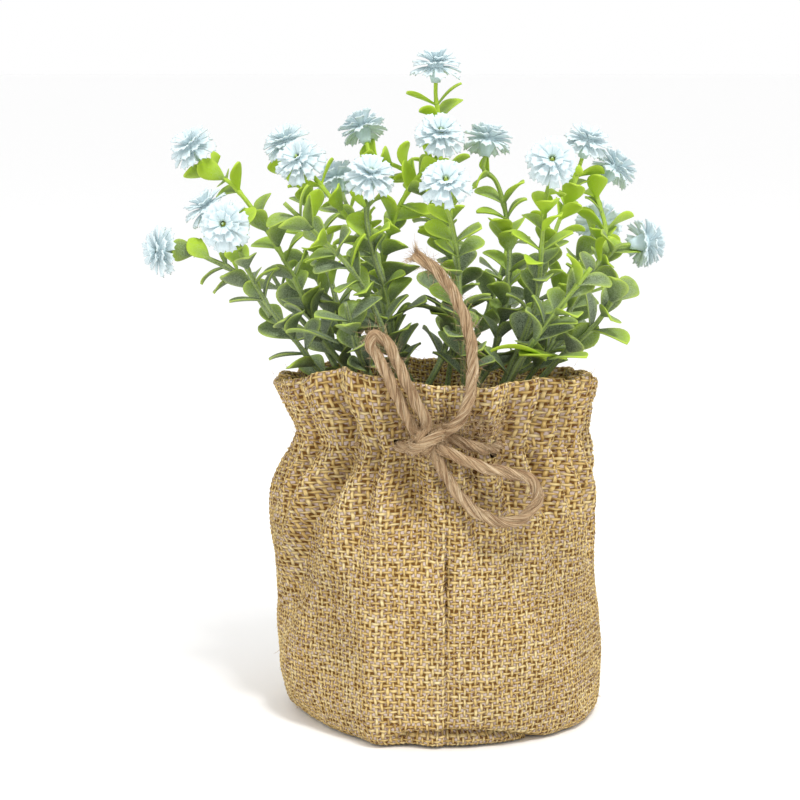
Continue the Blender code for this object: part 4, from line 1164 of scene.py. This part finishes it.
# Petals are matt and nearly white, painted bluer in the cone and towards their feet, where they overlap, as
# painted shade.
petal_plastic, tree, shader = new_finish(
    "pale_blue_polyethylene", Roughness=0.6, IOR=1.51, Specular_IOR_Level=0.3
)
tint = add_node(tree, "Attribute", {}, attribute_name="tint").outputs["Fac"]
place = add_node(tree, "TexCoord", {}).outputs["Object"]
grain = add_node(tree, "TexNoise", {"Vector": place, "Scale": 1500.0, "Detail": 3.0})
grain_tint = add_node(tree, "Math", {0: grain, 1: 0.2, 2: tint}, operation="MULTIPLY_ADD")
petal_colour = add_node(tree, "ValToRGB", {0: grain_tint})
set_stops(petal_colour, (0.0, "3E4A2E"), (0.14, "5C6B4C"), (0.2, "B9C94E"), (0.3, "B4CB60"),
          (0.36, "B6D0D4"), (0.6, "CFE0E4"), (1.0, "D9E6E9"))
link_looks(tree, shader, petal_colour.outputs[0], grain, 0.3, 0.1)

# Height of the whorl on the head, petals in it, their length and width, and the way they start and
# end, in degrees from the flower's axis.
WHORLS = [
    (4.4, 11, 6.6, 2.7, 80, 128),
    (5.2, 10, 6.4, 2.7, 66, 98),
    (6.0, 9, 5.4, 2.5, 50, 74),
    (6.7, 7, 3.8, 2.1, 30, 46),
]
PETAL_LAYER = 0.14  # mm from the middle of a petal to each face of it
HEAD_SIDES = 16
# The cone, eye and pin: height, reach and tint of each ring. The cone's bluer tint is painted shade.
HEAD_PROFILE = [
    (0.0, 0.4, 0.4), (0.05, 1.35, 0.4), (1.6, 1.75, 0.4), (3.2, 2.3, 0.4), (4.6, 2.6, 0.42),
    (5.6, 2.2, 0.5), (6.6, 1.6, 0.55), (6.9, 1.1, 0.1), (6.2, 0.8, 0.02), (6.2, 0.35, 0.1),
    (7.6, 0.3, 0.22), (8.0, 0.05, 0.24),
]
PETAL_ROWS = [0.0, 0.22, 0.45, 0.68, 0.86, 1.0]
PETAL_COLUMNS = [-1, -0.66, -0.33, 0, 0.33, 0.66, 1]


def add_petal(surface, chance, head, height, bearing, length, width, start_angle, end_angle):
    """A strap petal, wider to its tip, which has three lobes."""
    foot, axis, side, other = head
    outward = between(side, other, bearing)
    across = axis.cross(outward)
    start = len(surface.points)
    curl = chance.uniform(-12, 12)
    for layer in (1, -1):
        reached = foot + axis * height + outward * 0.9
        last = 0
        for row in PETAL_ROWS:
            angle = math.radians(start_angle + (end_angle + curl - start_angle) * row)
            heading = between(axis, outward, angle)
            reached = reached + heading * length * (row - last)
            last = row
            normal = heading.cross(across)
            half = width / 2 * (0.42 + 0.86 * row - 0.12 * row * row)
            for column in PETAL_COLUMNS:
                lobe = 0.065 * length * math.cos(column * 2 * math.pi) * row**4
                lobe -= 0.09 * length * column**4 * row**3
                fold = 0.16 * half * math.cos(column * 2 * math.pi * 0.75)
                point = reached + across * half * column + heading * lobe
                surface.points.append(point - normal * (fold - layer * PETAL_LAYER))
                # Each petal is painted bluer towards its foot, a painted shade.
                surface.values.append(0.52 + 0.36 * row + 0.03 * math.cos(column * 6))
    skin_layers(surface, start, len(PETAL_ROWS), len(PETAL_COLUMNS), True)


for name, branch, _in_crown, route, facing, _turn, _size in SPRIGS:
    if facing is None:
        continue
    chance = random.Random("flower " + name)
    foot = from_mouth(*route[-1])
    axis = Vector(facing).normalized()
    side = axis.orthogonal().normalized()
    other = axis.cross(side)
    head = (foot, axis, side, other)
    surface = Surface()
    rings = []
    for height, reach, _shade in HEAD_PROFILE:
        ring_points = []
        for j in range(HEAD_SIDES):
            turn = 2 * math.pi * j / HEAD_SIDES
            rib = 1 + (0.07 if j % 2 else -0.05) * (reach > 1.2)
            sideways = between(side, other, turn) * reach * rib
            ring_points.append(foot + axis * height + sideways)
        rings.append(ring_points)
    surface.tube(rings, [shade for _height, _reach, shade in HEAD_PROFILE])
    for height, count, length, width, start_angle, end_angle in WHORLS:
        offset = chance.uniform(0, 6.28)
        for i in range(count):
            bearing = offset + 2 * math.pi * i / count + chance.uniform(-0.09, 0.09)
            stretch = chance.uniform(0.9, 1.08)
            add_petal(surface, chance, head, height + chance.uniform(-0.2, 0.2), bearing, length * stretch,
                      width * chance.uniform(0.9, 1.1), start_angle, end_angle)
    flower = new_piece("petals_of_" + name, surface.points, surface.faces, petal_plastic,
                       "branch_" + branch)
    add_values(flower, "tint", surface.values)
    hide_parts("flower_" + name)

# ---- Studio: a pale seamless floor, a white surround and two large soft lights.

FLOOR_REACH = 30  # m, so far that its edge can't be told from the surround
FLOOR_LEVEL = -0.0004
LIT_POINT = Vector((0, 0, 0.09))

paper = new_finish("pale_floor_paper", Roughness=0.9, Base_Color=linear("FDFDFD"))[0]
floor_mesh = bpy.data.meshes.new("floor")
corners = [(-1, -1), (1, -1), (1, 1), (-1, 1)]
floor_points = [(x * FLOOR_REACH, y * FLOOR_REACH, FLOOR_LEVEL) for x, y in corners]
floor_mesh.from_pydata(floor_points, [], [(0, 1, 2, 3)])
floor_mesh.materials.append(paper)
floor = bpy.data.objects.new("floor", floor_mesh)
bpy.context.scene.collection.objects.link(floor)
surround = bpy.data.worlds.new("surround")
surround.use_nodes = True
background = surround.node_tree.nodes["Background"]
background.inputs["Color"].default_value = (1, 1, 1, 1)
background.inputs["Strength"].default_value = 1.0
bpy.context.scene.world = surround
for name, place, size, power in (
    ("key_light", (0.25, -0.6, 1.0), 0.2, 7.0),
    ("fill_light", (-0.8, -0.5, 0.4), 0.8, 1.0),
):
    lamp = bpy.data.objects.new(name, bpy.data.lights.new(name, "AREA"))
    lamp.data.size = size
    lamp.data.energy = power
    lamp.location = place
    lamp.rotation_euler = (LIT_POINT - lamp.location).to_track_quat("-Z", "Y").to_euler()
    bpy.context.scene.collection.objects.link(lamp)
bpy.context.scene.view_settings.view_transform = "Standard"
